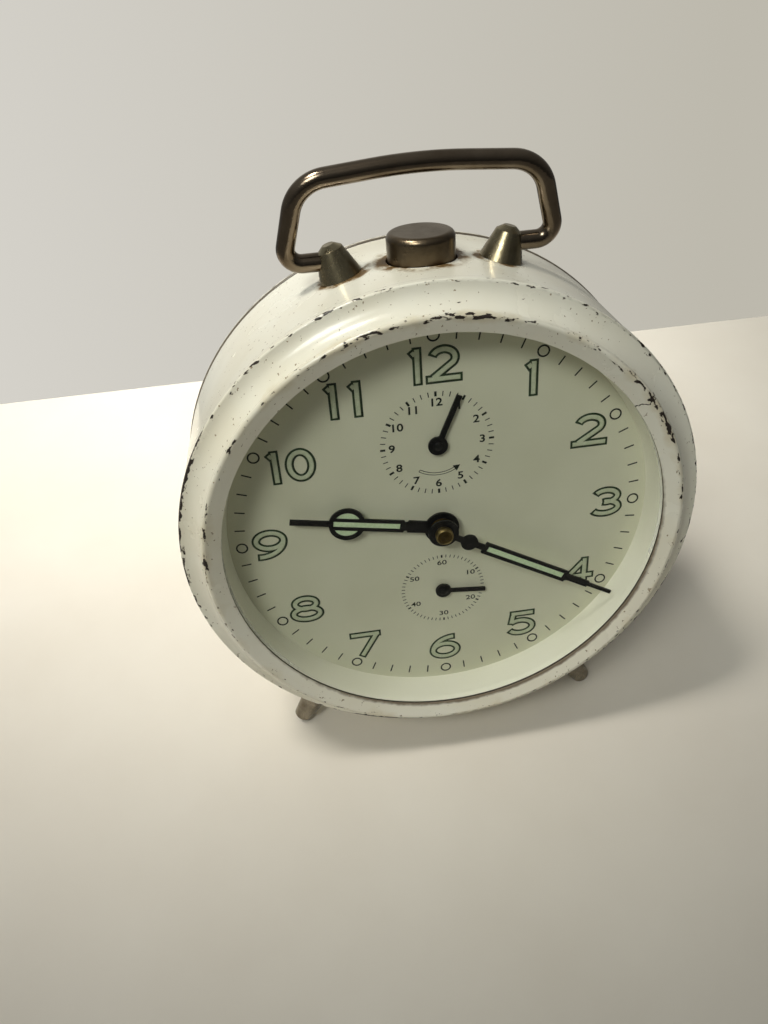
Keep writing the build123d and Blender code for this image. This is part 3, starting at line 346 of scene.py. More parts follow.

# The dark line where the lip meets the pane is painted shade of that crease.
lip_crease_shade = ramp(enamel, near_circle(*LIP, 0.62), 0.15, 0.40)
lip_wear = worn_round((
    (-180, 1.00), (-150, 0.80), (-110, 0.55), (-60, 0.40), (60, 0.40), (90, 0.75), (115, 1.00),
    (150, 1.10), (180, 1.00),
))
lip_dirt = times(near_circle(*LIP_EDGE, 1.5), lip_wear)
lip_dirt = plus(lip_dirt, times(noise(enamel, 420, 3.0), 0.5))
lip_dirt = ramp(enamel, lip_dirt, 0.60, 0.95)
bloom = times(near_circle(*RIDGE, 2.2), ridge_wear)
bloom = plus(times(bloom, 0.5), noise(enamel, 170, 4.0))
bloom = ramp(enamel, bloom, 0.66, 0.95)
print("nodes with the lip:", len(enamel.node_tree.nodes))

# %% [markdown]
# Dirt gathers where metal stands on the enamel and no cloth reaches. Each fitting's own box gives
# its place round the drum, and the stain starts at the edge of its base.

# %% Enamel: stains round the fittings on the drum
DRUM_RADIUS = 53.5
SEAT = 0.2

stains = []
for node_name, base_radius, spread in (
    ("handle_stud_left", 4.2, 2.0), ("handle_stud_right", 4.2, 1.6), ("stop_button", 6.8, 3.2)
):
    low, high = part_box(node_name)
    middle = (Vector(low) + Vector(high)) / 2 - DIAL_CENTRE
    around = RIGHT * middle.dot(RIGHT) + UP * middle.dot(UP)
    base = DIAL_CENTRE + around.normalized() * DRUM_RADIUS * MM + OUT * middle.dot(OUT)
    offset = add(enamel, "VectorMath", ((0, spot), (1, base)), operation="SUBTRACT").outputs[0]
    distance = add(enamel, "VectorMath", ((0, offset),), operation="LENGTH").outputs["Value"]
    stains.append(ramp(enamel, distance, (base_radius + spread) * MM, (base_radius + SEAT) * MM))
dirt = ramp(enamel, noise(enamel, 300, 4.0), 0.38, 0.62)
stain_level = times(strongest(*stains), dirt)
stain = ramp(enamel, stain_level, 0.04, 0.50)
stain_core = ramp(enamel, stain_level, 0.35, 0.85)
print("stained places:", len(stains))

# %% Enamel: colours together
# The first colour is bare iron where the enamel is gone; the lip's crease line takes it too, as painted shade.
IRON_AND_CREASE_SHADE = shade(40, 30, 22)
RUST = shade(118, 90, 42)
SOOT = shade(66, 50, 32)
GRIME = shade(88, 65, 36)
TAN = shade(202, 186, 144)
GLOSS, DULLER, CLOUDED = 0.20, 0.45, 0.12
CHIP_DEPTH = 0.0001

aged = ramp(enamel, noise(enamel, 38, 4.0), 0.35, 0.75)
body_colour = blend_colours(enamel, aged, CREAM, CREAM_AGED)
for mask, share, tint in (
    (bloom, 0.45, TAN),
    (stain, 1.0, RUST),
    (stain_core, 0.6, SOOT),
    (lip_dirt, 0.85, GRIME),
    (specks, 0.75, RUST),
    (chip_edge, 0.45, RUST),
    (seam_line, 0.9, SOOT),
):
    body_colour = blend_colours(enamel, times(mask, share), body_colour, tint)
# Bare iron of the chips and the crack, together with the painted shade line along the lip.
bare_iron_and_lip_shade = strongest(chipped, crack, lip_crease_shade)
use(enamel, "Base Color", blend_colours(enamel, bare_iron_and_lip_shade, body_colour, IRON_AND_CREASE_SHADE))
rough = plus(times(strongest(stain, lip_dirt, bare_iron_and_lip_shade), DULLER), GLOSS)
use(enamel, "Roughness", plus(rough, times(noise(enamel, 90, 4.0), CLOUDED)))
ripple = times(noise(enamel, 260, 2.0), 0.10)
dent(enamel, calc(enamel, "SUBTRACT", ripple, bare_iron_and_lip_shade), CHIP_DEPTH)
shader_of(enamel).inputs["Coat Weight"].default_value = 0.25
shader_of(enamel).inputs["Coat Roughness"].default_value = 0.08
print("enamel nodes:", len(enamel.node_tree.nodes))

# %% [markdown]
# ## Plating, brass and steel
# The handle, the studs, the button and the feet are plated steel, dulled by decades of hands:
# darker in blotches, with fine scratches. One recipe serves them all with other colours. The
# scratches are a noise stretched along one direction, used as a faint bump.


# %% Metals
SCRATCH_DEPTH = 0.00002


def metal(name, colour, dark, roughness, spread, lumps, streak):
    """A metal finish that is blotched between two colours, with stretched scratches."""
    made = finish(name, colour, roughness, 1.0)
    blotch = ramp(made, noise(made, lumps, 5.0, 0.6), 0.32, 0.72)
    use(made, "Base Color", blend_colours(made, blotch, colour, dark))
    duller = calc(made, "ADD", calc(made, "MULTIPLY", blotch, spread), roughness)
    use(made, "Roughness", duller)
    where = add(made, "TexCoord").outputs["Object"]
    stretched = add(made, "Mapping", (("Vector", where), ("Scale", streak))).outputs[0]
    dent(made, noise(made, 1.0, 2.0, 0.5, stretched), SCRATCH_DEPTH)
    return made


# Each metal is (colour, darker blotches, roughness, how much rougher, lumps, scratches).
METALS = {
    "handle_steel": (
        shade(132, 119, 103), shade(103, 90, 75), 0.14, 0.10, 150, (400, 2600, 2600)
    ),
    "stud_nickel": (
        shade(172, 161, 132), shade(126, 115, 90), 0.22, 0.12, 260, (2200, 2200, 500)
    ),
    "button_nickel": (
        shade(120, 107, 88), shade(100, 87, 69), 0.26, 0.10, 180, (2600, 500, 2600)
    ),
    "foot_nickel": (
        shade(158, 151, 137), shade(104, 96, 82), 0.22, 0.14, 300, (2200, 2200, 600)
    ),
    "key_nickel": (
        shade(196, 188, 172), shade(150, 140, 122), 0.22, 0.14, 210, (2600, 700, 700)
    ),
    "brass": (
        shade(186, 156, 96), shade(128, 100, 56), 0.28, 0.14, 240, (300, 1800, 1800)
    ),
    "nut_brass": (
        shade(160, 142, 98), shade(112, 96, 58), 0.30, 0.14, 600, (900, 4000, 4000)
    ),
    # Darker brass for the floor of the nut's cup: painted shade of its recess.
    "nut_recess_shade_brass": (
        shade(104, 88, 50), shade(60, 48, 24), 0.34, 0.12, 700, (900, 4000, 4000)
    ),
    "arbor_steel": (
        shade(178, 176, 170), shade(128, 124, 116), 0.30, 0.12, 260, (600, 2400, 2400)
    ),
}
metals = {name: metal(name, *recipe) for name, recipe in METALS.items()}
print("metals:", ", ".join(metals))

# %% [markdown]
# ## Dial, print, hands and glass
# The dial is matt paint, a touch greener than the case, with dust and faint cloudy patches. The
# wall round it is a paler, cleaner paint. The print is black ink, and a greener ink draws the big
# numerals. Numerals and hands hold a luminous filling, pale green and grainy. One recipe makes all
# of these. The glass is flat, so it only lets light through and mirrors a little at a slant.


# %% Dial finishes
def speckled(name, light, dark, roughness, lumps, depth):
    """A matt finish that wanders between two colours, with a grain."""
    made = finish(name, light, roughness)
    cloud = ramp(made, noise(made, lumps, 5.0), 0.32, 0.72)
    use(made, "Base Color", blend_colours(made, cloud, light, dark))
    dent(made, noise(made, 3200, 3.0), depth)
    return made


# Each paint is (light, dark, roughness, lumps, depth of its grain).
PAINTS = {
    "dial_paint": (shade(232, 231, 207), shade(219, 218, 192), 0.5, 46, 0.00001),
    "ring_paint": (shade(252, 250, 235), shade(245, 243, 225), 0.4, 60, 0.00001),
    "dial_ink": (shade(14, 18, 12), shade(34, 42, 30), 0.5, 700, 0.00001),
    "numeral_ink": (shade(26, 42, 22), shade(54, 76, 47), 0.5, 700, 0.00001),
    "numeral_filling": (shade(212, 218, 190), shade(194, 203, 170), 0.7, 1300, 0.00004),
    "hand_filling": (shade(230, 248, 210), shade(206, 231, 182), 0.6, 1500, 0.00004),
    "hand_black": (shade(8, 8, 8), shade(22, 21, 19), 0.4, 900, 0.00002),
}
paints = {name: speckled(name, *recipe) for name, recipe in PAINTS.items()}
shader_of(paints["hand_black"]).inputs["Specular IOR Level"].default_value = 0.3
print("paints:", ", ".join(paints))

# %% Glass
CLEAR = (0.985, 0.99, 0.985, 1)
POLISH, SMEARED = 0.02, 0.1

clear_glass = finish("clear_glass", shade(255, 255, 255), POLISH)
smear = ramp(clear_glass, noise(clear_glass, 60, 5.0), 0.45, 0.8)
smear = calc(clear_glass, "MULTIPLY", smear, SMEARED)
use(clear_glass, "Roughness", calc(clear_glass, "ADD", smear, POLISH))
through = add(clear_glass, "BsdfTransparent", (("Color", CLEAR),)).outputs[0]
slant = add(clear_glass, "LayerWeight", (("Blend", 0.12),)).outputs["Fresnel"]
mirror_share = calc(clear_glass, "MULTIPLY", slant, 0.4)
ways = ((0, mirror_share), (1, through), (2, shader_of(clear_glass).outputs[0]))
window = add(clear_glass, "MixShader", ways)
glass_end = clear_glass.node_tree.nodes["Material Output"]
clear_glass.node_tree.links.new(window.outputs[0], glass_end.inputs["Surface"])
print("glass nodes:", len(clear_glass.node_tree.nodes))

# %% [markdown]
# ## Giving the solids their finishes
# A solid whose shape is right keeps its mesh and only gets a finish. The list follows the record:
# its slot names what each piece is made of, and a few pieces that are seen close get a finish of
# their own.

# %% Assign finishes
slot_finish = {
    "enamel": enamel,
    "glass": clear_glass,
    "dial_paint": paints["dial_paint"],
    "hand_black": paints["hand_black"],
    "nickel": metals["key_nickel"],
    "handle_steel": metals["handle_steel"],
    "brass": metals["brass"],
    "steel": metals["arbor_steel"],
}
own_finish = {
    "stop_button": metals["button_nickel"],
    "handle_stud_left": metals["stud_nickel"],
    "handle_stud_right": metals["stud_nickel"],
    "foot_left": metals["foot_nickel"],
    "foot_right": metals["foot_nickel"],
}
for part in frame["record"]["subparts"]:
    solid = nodes[part["node"]]
    chosen = own_finish.get(part["node"], slot_finish[part["material_slot"]])
    solid.data.materials.clear()
    solid.data.materials.append(chosen)

# %% [markdown]
# ## Making a printed piece
# Print has almost no thickness, but it still is a piece of its own: a few hundredths of a
# millimetre of ink on the paint. Each mark is drawn in millimetres on the dial's own axes, and the
# finished mesh is then laid on the dial. All marks of one ink become one piece.

# %% Printed pieces
INK_RISE = 0.012
INK_DEPTH = 0.02


def new_piece(name, shape, material, body, place):
    """A shape laid in its place and finished, as a piece that rides on a body."""
    bmesh.ops.transform(shape, verts=shape.verts, matrix=place)
    mesh = bpy.data.meshes.new(name)
    shape.to_mesh(mesh)
    shape.free()
    mesh.materials.append(material)
    piece = bpy.data.objects.new(name, mesh)
    bpy.context.scene.collection.objects.link(piece)
    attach(piece, body)
    print(name, "faces:", len(mesh.polygons))
    return piece


def stamp(shape, place, long, wide, turn):
    """A flat bar of ink at a place, turned clockwise from upright."""
    made = bmesh.ops.create_cube(shape, size=1.0)["verts"]
    bmesh.ops.scale(shape, verts=made, vec=(wide, long, INK_DEPTH))
    spin = Matrix.Translation((place[0], place[1], INK_RISE)) @ Matrix.Rotation(-turn, 4, "Z")
    bmesh.ops.transform(shape, verts=made, matrix=spin)


def ring(shape, place, outer, inner):
    """A flat ring of ink round a place."""
    edges = []
    for radius in (outer, inner):
        made = bmesh.ops.create_circle(shape, segments=48, radius=radius)["verts"]
        bmesh.ops.translate(shape, verts=made, vec=(place[0], place[1], INK_RISE + INK_DEPTH / 2))
        edges += list({edge for vert in made for edge in vert.link_edges})
    flat = bmesh.ops.bridge_loops(shape, edges=edges)["faces"]
    bmesh.ops.solidify(shape, geom=flat, thickness=INK_DEPTH)


def clockwise(radius, angle):
    """Place at a radius and an angle in degrees clockwise from 12."""
    turn = radians(angle)
    return (radius * sin(turn), radius * cos(turn))


# %% [markdown]
# ## The minute track
# Each hour has a small ring, and four short strokes stand between two hours. Strokes and rings come
# from the same two stamps, placed round the circle by a loop.

# %% Minute track
TRACK = 42.0
STROKE_LONG, STROKE_WIDE = 2.1, 0.30
RING_OUTER, RING_INNER = 1.27, 0.93

ink = paints["dial_ink"]
track = bmesh.new()
for minute in range(60):
    place = clockwise(TRACK, minute * 6)
    if minute % 5:
        stamp(track, place, STROKE_LONG, STROKE_WIDE, radians(minute * 6))
    else:
        ring(track, place, RING_OUTER, RING_INNER)
bmesh.ops.recalc_face_normals(track, faces=track.faces)
new_piece("minute_track", track, ink, "case", on_dial(DIAL_CENTRE))

# %% [markdown]
# ## The hour numerals
# The big numerals are broad, even strokes with a thin black outline and a luminous filling. A font
# would bring its own proportions, so each figure is drawn with a few pen strokes: straight runs and
# arcs. Each stroke is drawn twice, wide in ink and narrower in filling, and is pressed flat.

# %% Numeral strokes
H = 2.96
PEN = 1.84
OUTLINE = 0.45


def arc(x, y, across, high, start, end):
    """Points of an oval arc, in degrees anticlockwise from the right."""
    count = max(6, int(abs(end - start) / 9))
    points = []
    for step in range(count + 1):
        turn = radians(start + (end - start) * step / count)
        points.append((x + across * cos(turn), y + high * sin(turn)))
    return points


# Each stroke is (points, how far its start and its end run on, in half pens).
FIGURES = {
    "0": [(arc(0, 0, 2.45, H, 90, 450), 0, 0)],
    "1": [([(0.35, H), (0.35, -H)], 1, 1), ([(0.3, H + 0.1), (-1.15, 2.1)], 0, 0)],
    "2": [
        (arc(0, 1.2, 2.45, H - 1.2, 166, -36) + [(-2.7, -H)], 0, 0),
        ([(-2.95, -H), (2.95, -H)], 1, 1),
    ],
    "3": [
        (arc(-0.1, 1.42, 2.5, H - 1.42, 160, -90) + [(-0.8, 0.0)], 0, 0),
        ([(-0.8, 0.0)] + arc(-0.1, -1.42, 2.85, H - 1.42, 90, -158), 0, 0),
    ],
    "4": [
        ([(1.2, -H), (1.2, H)], 1, 1),
        ([(1.1, H), (-2.6, -1.3)], 0, 0),
        ([(-2.7, -1.3), (2.55, -1.3)], 1, 1),
    ],
    "5": [
        ([(-1.7, H), (2.4, H)], 1, 1),
        ([(-1.7, H), (-2.2, 0.1)], 0, 0.4),
        (arc(-0.05, -1.05, 2.85, H - 1.05, 146, -155), 0, 0),
    ],
    "6": [
        (arc(0, -1.0, 2.85, H - 1.0, 180, 540), 0, 0),
        (arc(2.1, -1.0, 4.95, H + 1.0, 180, 86), 0, 0),
    ],
    "7": [([(-2.8, H), (2.65, H)], 1, 1), ([(2.62, H), (-0.85, -H)], 0.5, 1)],
    "8": [
        (arc(0, 1.5, 2.35, H - 1.5, 90, 450), 0, 0),
        (arc(0, -1.34, 2.95, H - 1.34, 90, 450), 0, 0),
    ],
    "9": [
        (arc(0, 1.0, 2.85, H - 1.0, 0, 360), 0, 0),
        (arc(-2.1, 1.0, 4.95, H + 1.0, 0, -101), 0, 0),
    ],
}
FIGURE_STEP = {10: (-3.5, 1.8), 11: (-2.5, 2.1), 12: (-3.55, 1.8)}
NARROW = 0.9
NUDGE = {
    1: (0.85, -0.2), 6: (0.0, 0.7), 7: (-0.3, 0.0),
    8: (0.5, -0.4), 10: (2.0, 0.1), 11: (0.6, -0.35),
}
print("figures drawn:", len(FIGURES))


# %% Pen
TOUCHING = 0.01


def run_on(points, start, end):
    """The same path with its two free ends lengthened, or shortened where negative."""
    path = [Vector(point) for point in points]
    if (path[0] - path[-1]).length < TOUCHING:
        return path
    for extra in (start, end):
        while len(path) > 2 and (path[0] - path[1]).length <= -extra:
            extra += (path[0] - path[1]).length
            path.pop(0)
        path[0] = path[0] + (path[0] - path[1]).normalized() * extra
        path.reverse()
    return path


def press(shape, curve, place):
    """Make a curve a mesh, place it and add it to a shape."""
    holder = bpy.data.objects.new("pen", curve)
    bpy.context.scene.collection.objects.link(holder)
    depsgraph = bpy.context.evaluated_depsgraph_get()
    drawn = bpy.data.meshes.new_from_object(holder.evaluated_get(depsgraph))
    drawn.transform(place)
    shape.from_mesh(drawn)
    bpy.data.objects.remove(holder)
    bpy.data.curves.remove(curve)
    bpy.data.meshes.remove(drawn)


def pen_stroke(shape, path, width, rise, flatten=0.02):
    """Draw a path with a round pen, press it flat and add it to a shape."""
    closed = (path[0] - path[-1]).length < TOUCHING
    points = path[:-1] if closed else path
    curve = bpy.data.curves.new("pen", "CURVE")
    curve.dimensions = "3D"
    curve.bevel_depth = width / 2
    curve.bevel_resolution = 2
    curve.use_fill_caps = True
    line = curve.splines.new("POLY")
    line.points.add(len(points) - 1)
    line.use_cyclic_u = closed
    for mark, point in zip(line.points, points):
        mark.co = (point.x, point.y, 0, 1)
    press(shape, curve, Matrix.Translation((0, 0, rise)) @ Matrix.Diagonal((1, 1, flatten, 1)))


# %% Hour numerals
NUMERAL_RADIUS = 36.1
FILL_RISE = INK_RISE + 0.02

outlines = bmesh.new()
fillings = bmesh.new()
for hour in range(1, 13):
    right, up = clockwise(NUMERAL_RADIUS, hour * 30)
    nudge = NUDGE.get(hour, (0.0, 0.0))
    narrow = NARROW if hour > 9 else 1.0
    for figure, step in zip(str(hour), FIGURE_STEP.get(hour, (0.0,))):
        for points, start, end in FIGURES[figure]:
            moved = [(x * narrow + right + step + nudge[0], y + up + nudge[1]) for x, y in points]
            start, end = start * PEN / 2, end * PEN / 2
            pen_stroke(outlines, run_on(moved, start, end), PEN, INK_RISE)
            inner = run_on(moved, start - OUTLINE, end - OUTLINE)
            pen_stroke(fillings, inner, PEN - 2 * OUTLINE, FILL_RISE)
for name, shape, paint in (
    ("numeral_outlines", outlines, "numeral_ink"),
    ("numeral_fillings", fillings, "numeral_filling"),
):
    new_piece(name, shape, paints[paint], "case", on_dial(DIAL_CENTRE))

# %% [markdown]
# ## The two small dials
# The alarm dial above the centre has a stroke for each quarter hour, heavier on the hours, and the
# hours in small bold figures. The seconds dial below has sixty fine strokes and tens. These figures
# are tiny, so the built-in lettering will do: it is made a mesh first and laid on the dial after.


# %% Small figures
LETTER_SHARE = 1.42


def small_figures(shape, text, place, high, wide, bold):
    """Small plain figures centred on a place, stretched sideways."""
    words = bpy.data.curves.new("figures", "FONT")
    words.body = text
    words.size = high * LETTER_SHARE
    words.align_x = "CENTER"
    words.align_y = "CENTER"
    words.offset = bold
    words.extrude = INK_DEPTH / 2
    words.resolution_u = 4
    stretch = Matrix.Diagonal((wide, 1, 1, 1))
    press(shape, words, Matrix.Translation((place[0], place[1], INK_RISE)) @ stretch)


# %% Alarm dial
QUARTER_RING, QUARTER_LONG = 11.0, 1.05
HOUR_WIDE, QUARTER_WIDE = 0.46, 0.19
FIGURE_RING = 9.15
ARROW, ARROW_HALF_IN, ARROW_HALF_OUT = 6.9, 0.28, 0.24
ARROW_START, ARROW_END = 236, 300
ARROW_PEN = 0.15
HEAD_AT, HEAD_TURN, HEAD_RADIUS = 147, -57, 0.9

alarm_print = bmesh.new()
for quarter in range(48):
    width = QUARTER_WIDE if quarter % 4 else HOUR_WIDE
    angle = quarter * 7.5
    stamp(alarm_print, clockwise(QUARTER_RING, angle), QUARTER_LONG, width, radians(angle))
for hour in range(1, 13):
    place = clockwise(FIGURE_RING, hour * 30)
    small_figures(alarm_print, str(hour), place, high=1.65, wide=1.15, bold=0.05)
tail_inner, tail_outer = (
    arc(0, 0, radius, radius, ARROW_START, ARROW_END)
    for radius in (ARROW - ARROW_HALF_IN, ARROW + ARROW_HALF_OUT)
)
for points in (tail_inner, tail_outer, [tail_inner[0], tail_outer[0]]):
    pen_stroke(alarm_print, run_on(points, 0, 0), ARROW_PEN, INK_RISE)
head = bmesh.ops.create_cone(
    alarm_print, cap_ends=True, segments=3, radius1=HEAD_RADIUS, radius2=HEAD_RADIUS,
    depth=INK_DEPTH,
)["verts"]
head_place = Matrix.Translation((*clockwise(ARROW, HEAD_AT), INK_RISE))
head_place = head_place @ Matrix.Rotation(radians(HEAD_TURN), 4, "Z")
bmesh.ops.transform(alarm_print, verts=head, matrix=head_place)
new_piece("alarm_dial_print", alarm_print, ink, "case", on_dial(ALARM_CENTRE))

# %% Seconds dial
SECOND_RING, SECOND_LONG = 8.95, 0.75
TEN_WIDE, SECOND_WIDE = 0.36, 0.17
TEN_RING = 7.2

seconds_print = bmesh.new()
for second in range(60):
    width = SECOND_WIDE if second % 10 else TEN_WIDE
    angle = second * 6
    stamp(seconds_print, clockwise(SECOND_RING, angle), SECOND_LONG, width, radians(angle))
for ten in range(1, 7):
    place = clockwise(TEN_RING, ten * 60)
    small_figures(seconds_print, str(ten * 10), place, high=1.2, wide=1.3, bold=0.02)
new_piece("seconds_dial_print", seconds_print, ink, "case", on_dial(SECONDS_CENTRE))

# %% [markdown]
# ## Luminous fillings in the hands
# The hour and minute hands are cut out of sheet, and their windows are filled from behind with
# luminous paste. The paste bulges a little, so each filling is a thin pad with a softened edge. It
# rides with its hand.


# %% Hand fillings
PAD_EDGE = 0.12


def pad(shape, place, wide, long, low, high):
    """A pad with a softened top edge, in a hand's own millimetres."""
    made = bmesh.ops.create_cube(shape, size=1.0)["verts"]
    bmesh.ops.scale(shape, verts=made, vec=(wide, long, high - low))
    bmesh.ops.translate(shape, verts=made, vec=(place[0], place[1], (low + high) / 2))
    top = [e for e in shape.edges if all(v in made and v.co.z > (low + high) / 2 for v in e.verts)]
    bmesh.ops.bevel(
        shape, geom=top, offset=PAD_EDGE, segments=2, profile=0.5, affect="EDGES", material=-1
    )


HOUR_ANGLE, HOUR_RISE = radians(281.0), 1.45
MINUTE_ANGLE, MINUTE_RISE = radians(120.5), 3.60
PASTE_LOW, PASTE_HIGH = 0.1, 0.4
SLOT_WIDE = 1.31
HOUR_SLOT_AT, HOUR_SLOT_LONG = 15.92, 13.98
MINUTE_SLOT_AT, MINUTE_SLOT_LONG = 20.6, 19.56
WINDOW_AT, WINDOW_RADIUS, WINDOW_THICK = 20.1, 2.83, 0.2


def slot_paste(shape, slot_at, slot_long, rise):
    """Paste in the straight slot of a hand."""
    pad(shape, (0, slot_at), SLOT_WIDE, slot_long, rise + PASTE_LOW, rise + PASTE_HIGH)


hour_paste = bmesh.new()
slot_paste(hour_paste, HOUR_SLOT_AT, HOUR_SLOT_LONG, HOUR_RISE)
window_fill = bmesh.ops.create_cone(
    hour_paste, cap_ends=True, segments=48, radius1=WINDOW_RADIUS, radius2=WINDOW_RADIUS,
    depth=WINDOW_THICK,
)["verts"]
bmesh.ops.translate(hour_paste, verts=window_fill, vec=(0, WINDOW_AT, HOUR_RISE + WINDOW_THICK))
minute_paste = bmesh.new()
slot_paste(minute_paste, MINUTE_SLOT_AT, MINUTE_SLOT_LONG, MINUTE_RISE)
for hand, shape, body, angle in (
    ("hour_hand", hour_paste, "hour_works", HOUR_ANGLE),
    ("minute_hand", minute_paste, "minute_works", MINUTE_ANGLE),
):
    place = on_dial(DIAL_CENTRE, angle)
    new_piece(hand + "_filling", shape, paints["hand_filling"], body, place)

# %% [markdown]
# ## Hubs
# The small hands are pressed on their arbors, and black lacquer covers the ends, so each gets a
# thin domed cap. The nut in the middle is a brass cup: its profile is drawn once and turned about
# the axis, and the full turn is closed by merging the seam. Its floor gets a much darker brass
# than its rim, as painted shade of the recess.


# %% Turned pieces
SHARP_FROM = radians(40)
MERGE = 0.0005


def turned(shape, profile, sides=48):
    """Turn a profile of (radius, height) points about the Z axis."""
    made = [shape.verts.new((radius, 0, height)) for radius, height in profile]
    edges = [shape.edges.new(pair) for pair in zip(made, made[1:])]
    bmesh.ops.spin(
        shape, geom=made + edges, cent=(0, 0, 0), axis=(0, 0, 1), angle=2 * pi, steps=sides,
        use_merge=True,
    )
    bmesh.ops.remove_doubles(shape, verts=shape.verts, dist=MERGE)
    bmesh.ops.recalc_face_normals(shape, faces=shape.faces)
    for face in shape.faces:
        face.smooth = True
    for edge in shape.edges:
        edge.smooth = edge.calc_face_angle(0.0) < SHARP_FROM


# %% Caps of the small hands, and the nut
CAP = ((0.0, 1.36), (0.5, 1.34), (0.8, 1.26), (0.9, 1.16), (0.9, 1.1), (0.0, 1.1))
NUT_RIM = (
    (1.5, 5.44), (1.53, 5.56), (1.62, 5.62), (1.74, 5.56), (1.85, 5.36), (1.85, 4.12), (1.5, 4.12),
    (1.5, 5.44),
)
NUT_FLOOR = ((0.0, 5.46), (1.0, 5.46), (1.51, 5.43), (1.51, 5.41), (0.0, 5.41))

hand_black = paints["hand_black"]
for hand, centre, body in (
    ("second_hand", SECONDS_CENTRE, "seconds"), ("alarm_hand", ALARM_CENTRE, "alarm_setting")
):
    cap = bmesh.new()
    turned(cap, CAP, sides=32)
    new_piece(hand + "_cap", cap, hand_black, body, on_dial(centre))
nut_rim = bmesh.new()
turned(nut_rim, NUT_RIM)
nut_place = on_dial(DIAL_CENTRE)
rim = new_piece("hand_nut_rim", nut_rim, metals["nut_brass"], "minute_works", nut_place)
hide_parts("hand_nut")
# The cup's floor takes the darker brass: painted shade in the recess.
nut_floor = bmesh.new()
turned(nut_floor, NUT_FLOOR)
new_piece("hand_nut_floor", nut_floor, metals["nut_recess_shade_brass"], "minute_works", nut_place)

# %% [markdown]
# ## The wall round the dial, and the pane
# On the solids the wall ends under the glass. Real glass bends the light, so the wall seems to
# reach right up to the bezel. This glass doesn't bend it, and a dark slot would show. The wall is
# therefore turned anew with a thin collar that stands beside a slightly smaller pane, and both take
# the place of their solids.

# %% Wall and pane
WALL = (
    (44.6, 0.0), (45.43, 7.24), (45.6, 7.24), (45.6, 6.08), (46.4, 6.08), (46.4, 0.0), (44.6, 0.0),
)
PANE_RADIUS, PANE_BACK, PANE_THICK = 45.27, 6.1, 1.2
RIM_SIDES = 192

wall_shape = bmesh.new()
turned(wall_shape, WALL, RIM_SIDES)
on_centre = on_dial(DIAL_CENTRE)
dial_wall = new_piece("dial_wall", wall_shape, paints["ring_paint"], "case", on_centre)
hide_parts("dial_ring")
pane = bmesh.new()
bmesh.ops.create_cone(
    pane, cap_ends=True, segments=RIM_SIDES, radius1=PANE_RADIUS, radius2=PANE_RADIUS,
    depth=PANE_THICK,
)
bmesh.ops.translate(pane, verts=pane.verts, vec=(0, 0, PANE_BACK + PANE_THICK / 2))
glass_pane = new_piece("glass_pane", pane, clear_glass, "case", on_centre)
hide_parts("glass")

# %% [markdown]
# ## The table and the room
# The clock stands on a pale table that ends a hand's breadth behind it, before a pale wall. The
# wall is only the sky of this little world. Seen straight or through glass it is the wall's
# colour, painted lighter on the left and darker on the right: painted light that falls off from
# left to right. Metal mirrors that colour where it looks back at the wall. The light that the sky
# sheds is set apart, brighter above and behind than in front.

# %% Table
TABLE_WIDE, TABLE_DEEP = 1.6, 0.8
TABLE_BACK, TABLE_DROP = 0.13, 0.0002

table_top = speckled("table_top", shade(232, 226, 214), shade(226, 219, 206), 0.55, 22, 0.00001)
table_shape = bmesh.new()
bmesh.ops.create_grid(table_shape, x_segments=1, y_segments=1, size=1.0)
bmesh.ops.scale(table_shape, verts=table_shape.verts, vec=(TABLE_WIDE, TABLE_DEEP, 1))
table_place = (0, TABLE_BACK - TABLE_DEEP, -TABLE_DROP)
bmesh.ops.translate(table_shape, verts=table_shape.verts, vec=table_place)
table_mesh = bpy.data.meshes.new("table")
table_shape.to_mesh(table_mesh)
table_shape.free()
table_mesh.materials.append(table_top)
table = bpy.data.objects.new("table", table_mesh)
bpy.context.scene.collection.objects.link(table)
print("table ends at", TABLE_BACK, "m behind the clock")

# %% Sky
SKY_BRIGHT = (-0.3, 0.55, 0.78)
SKY_FROM, SKY_TO = -0.5, 1.0
SKY_DIM, SKY_FULL = 0.04, 0.28
WALL_FROM, WALL_TO = -0.5, 0.45
# The two wall colours are painted light: lit on the left, shaded on the right.
WALL_LIT_LEFT, WALL_SHADED_RIGHT = shade(217, 214, 207), shade(189, 185, 173)

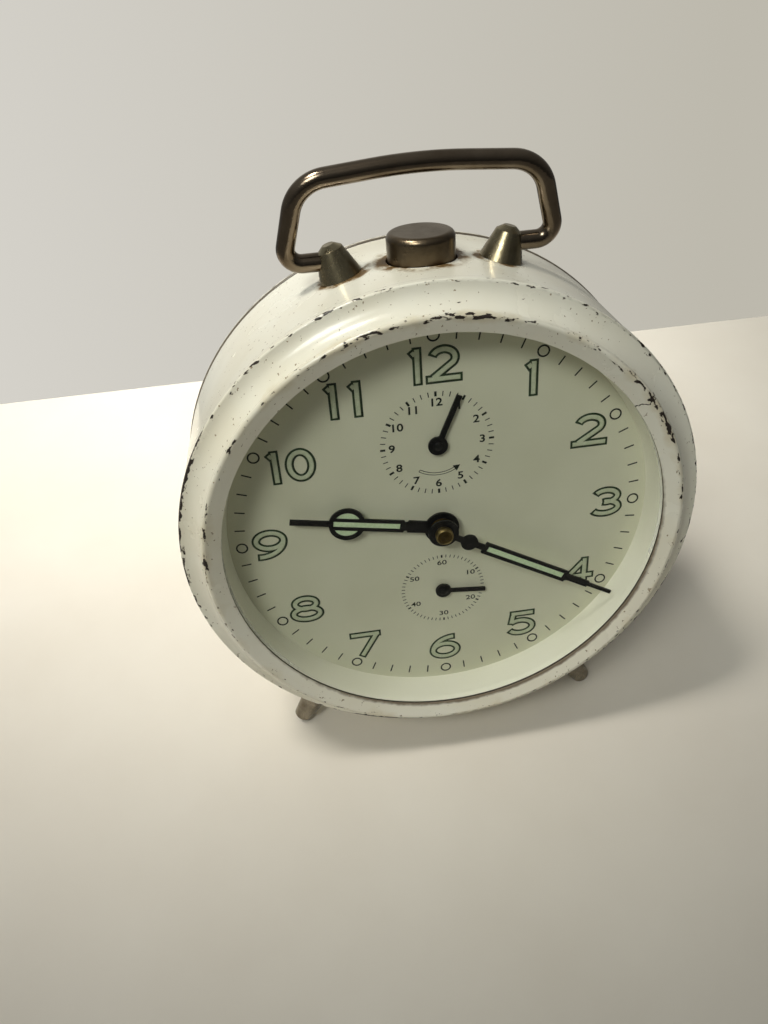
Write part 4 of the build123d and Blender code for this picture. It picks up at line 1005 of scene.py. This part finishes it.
room = bpy.data.worlds.new("room")
bpy.context.scene.world = room
room.use_nodes = True
shed = room.node_tree.nodes["Background"]
shed.inputs["Color"].default_value = shade(244, 246, 243)
towards = add(room, "TexCoord").outputs["Generated"]
sky_side = add(room, "VectorMath", ((0, towards), (1, SKY_BRIGHT)), operation="DOT_PRODUCT")
sky_pairs = (
    ("Value", sky_side.outputs["Value"]), ("From Min", SKY_FROM), ("From Max", SKY_TO),
    ("To Min", SKY_DIM), ("To Max", SKY_FULL),
)
plug(room.node_tree, shed.inputs["Strength"], add(room, "MapRange", sky_pairs).outputs[0])
heading = add(room, "SeparateXYZ", ((0, towards),)).outputs
# The wall's colour is painted light: lighter on the left, darker on the right.
wall_painted_falloff = ramp(room, heading["X"], WALL_FROM, WALL_TO)
wall_colour_with_painted_light = blend_colours(room, wall_painted_falloff, WALL_LIT_LEFT, WALL_SHADED_RIGHT)
wall = add(room, "Background", (("Color", wall_colour_with_painted_light), ("Strength", 1.0)))
print("sky nodes:", len(room.node_tree.nodes))

# %% What sees the wall
MIRROR_FROM, MIRROR_TO, MIRRORED = 0.70, 0.96, 0.7

path = add(room, "LightPath").outputs
behind = ramp(room, heading["Y"], MIRROR_FROM, MIRROR_TO)
mirrored = calc(room, "MULTIPLY", behind, MIRRORED)
mirrored = calc(room, "MULTIPLY", mirrored, path["Is Glossy Ray"])
seen = calc(room, "MAXIMUM", path["Is Camera Ray"], path["Is Transmission Ray"])
seen = calc(room, "MAXIMUM", seen, mirrored)
either = add(room, "MixShader", ((0, seen), (1, shed.outputs[0]), (2, wall.outputs[0])))
room_end = room.node_tree.nodes["World Output"]
room.node_tree.links.new(either.outputs[0], room_end.inputs["Surface"])
print("room nodes:", len(room.node_tree.nodes))

# %% [markdown]
# ## Lamps
# Two soft lamps do the rest. One stands for the window, high on the left, and lights the table
# behind the clock. The other is the light of the room from the front. Both are square areas with a
# narrow spread, because a bare point would throw hard shadows.


# %% Lamps
def lamp(name, place, aim, size, power, colour, spread):
    """A soft square lamp that looks at a point."""
    data = bpy.data.lights.new(name, "AREA")
    data.size = size
    data.energy = power
    data.color = colour[:3]
    data.spread = radians(spread)
    made = bpy.data.objects.new(name, data)
    bpy.context.scene.collection.objects.link(made)
    look = (Vector(aim) - Vector(place)).to_track_quat("-Z", "Y")
    made.matrix_world = Matrix.Translation(place) @ look.to_matrix().to_4x4()
    print(name, power, "W")


WINDOW_LIGHT, ROOM_LIGHT = shade(255, 251, 243), shade(251, 253, 246)
lamp(
    "window_lamp", place=(-0.30, 0.07, 0.76), aim=(-0.06, 0.17, 0.0), size=0.18, power=0.475,
    colour=WINDOW_LIGHT, spread=39,
)
lamp(
    "room_lamp", place=(-0.29, -0.288, 0.656), aim=(0.0, 0.06, 0.12), size=0.32, power=0.157,
    colour=ROOM_LIGHT, spread=30,
)
bpy.context.scene.view_settings.view_transform = "Standard"
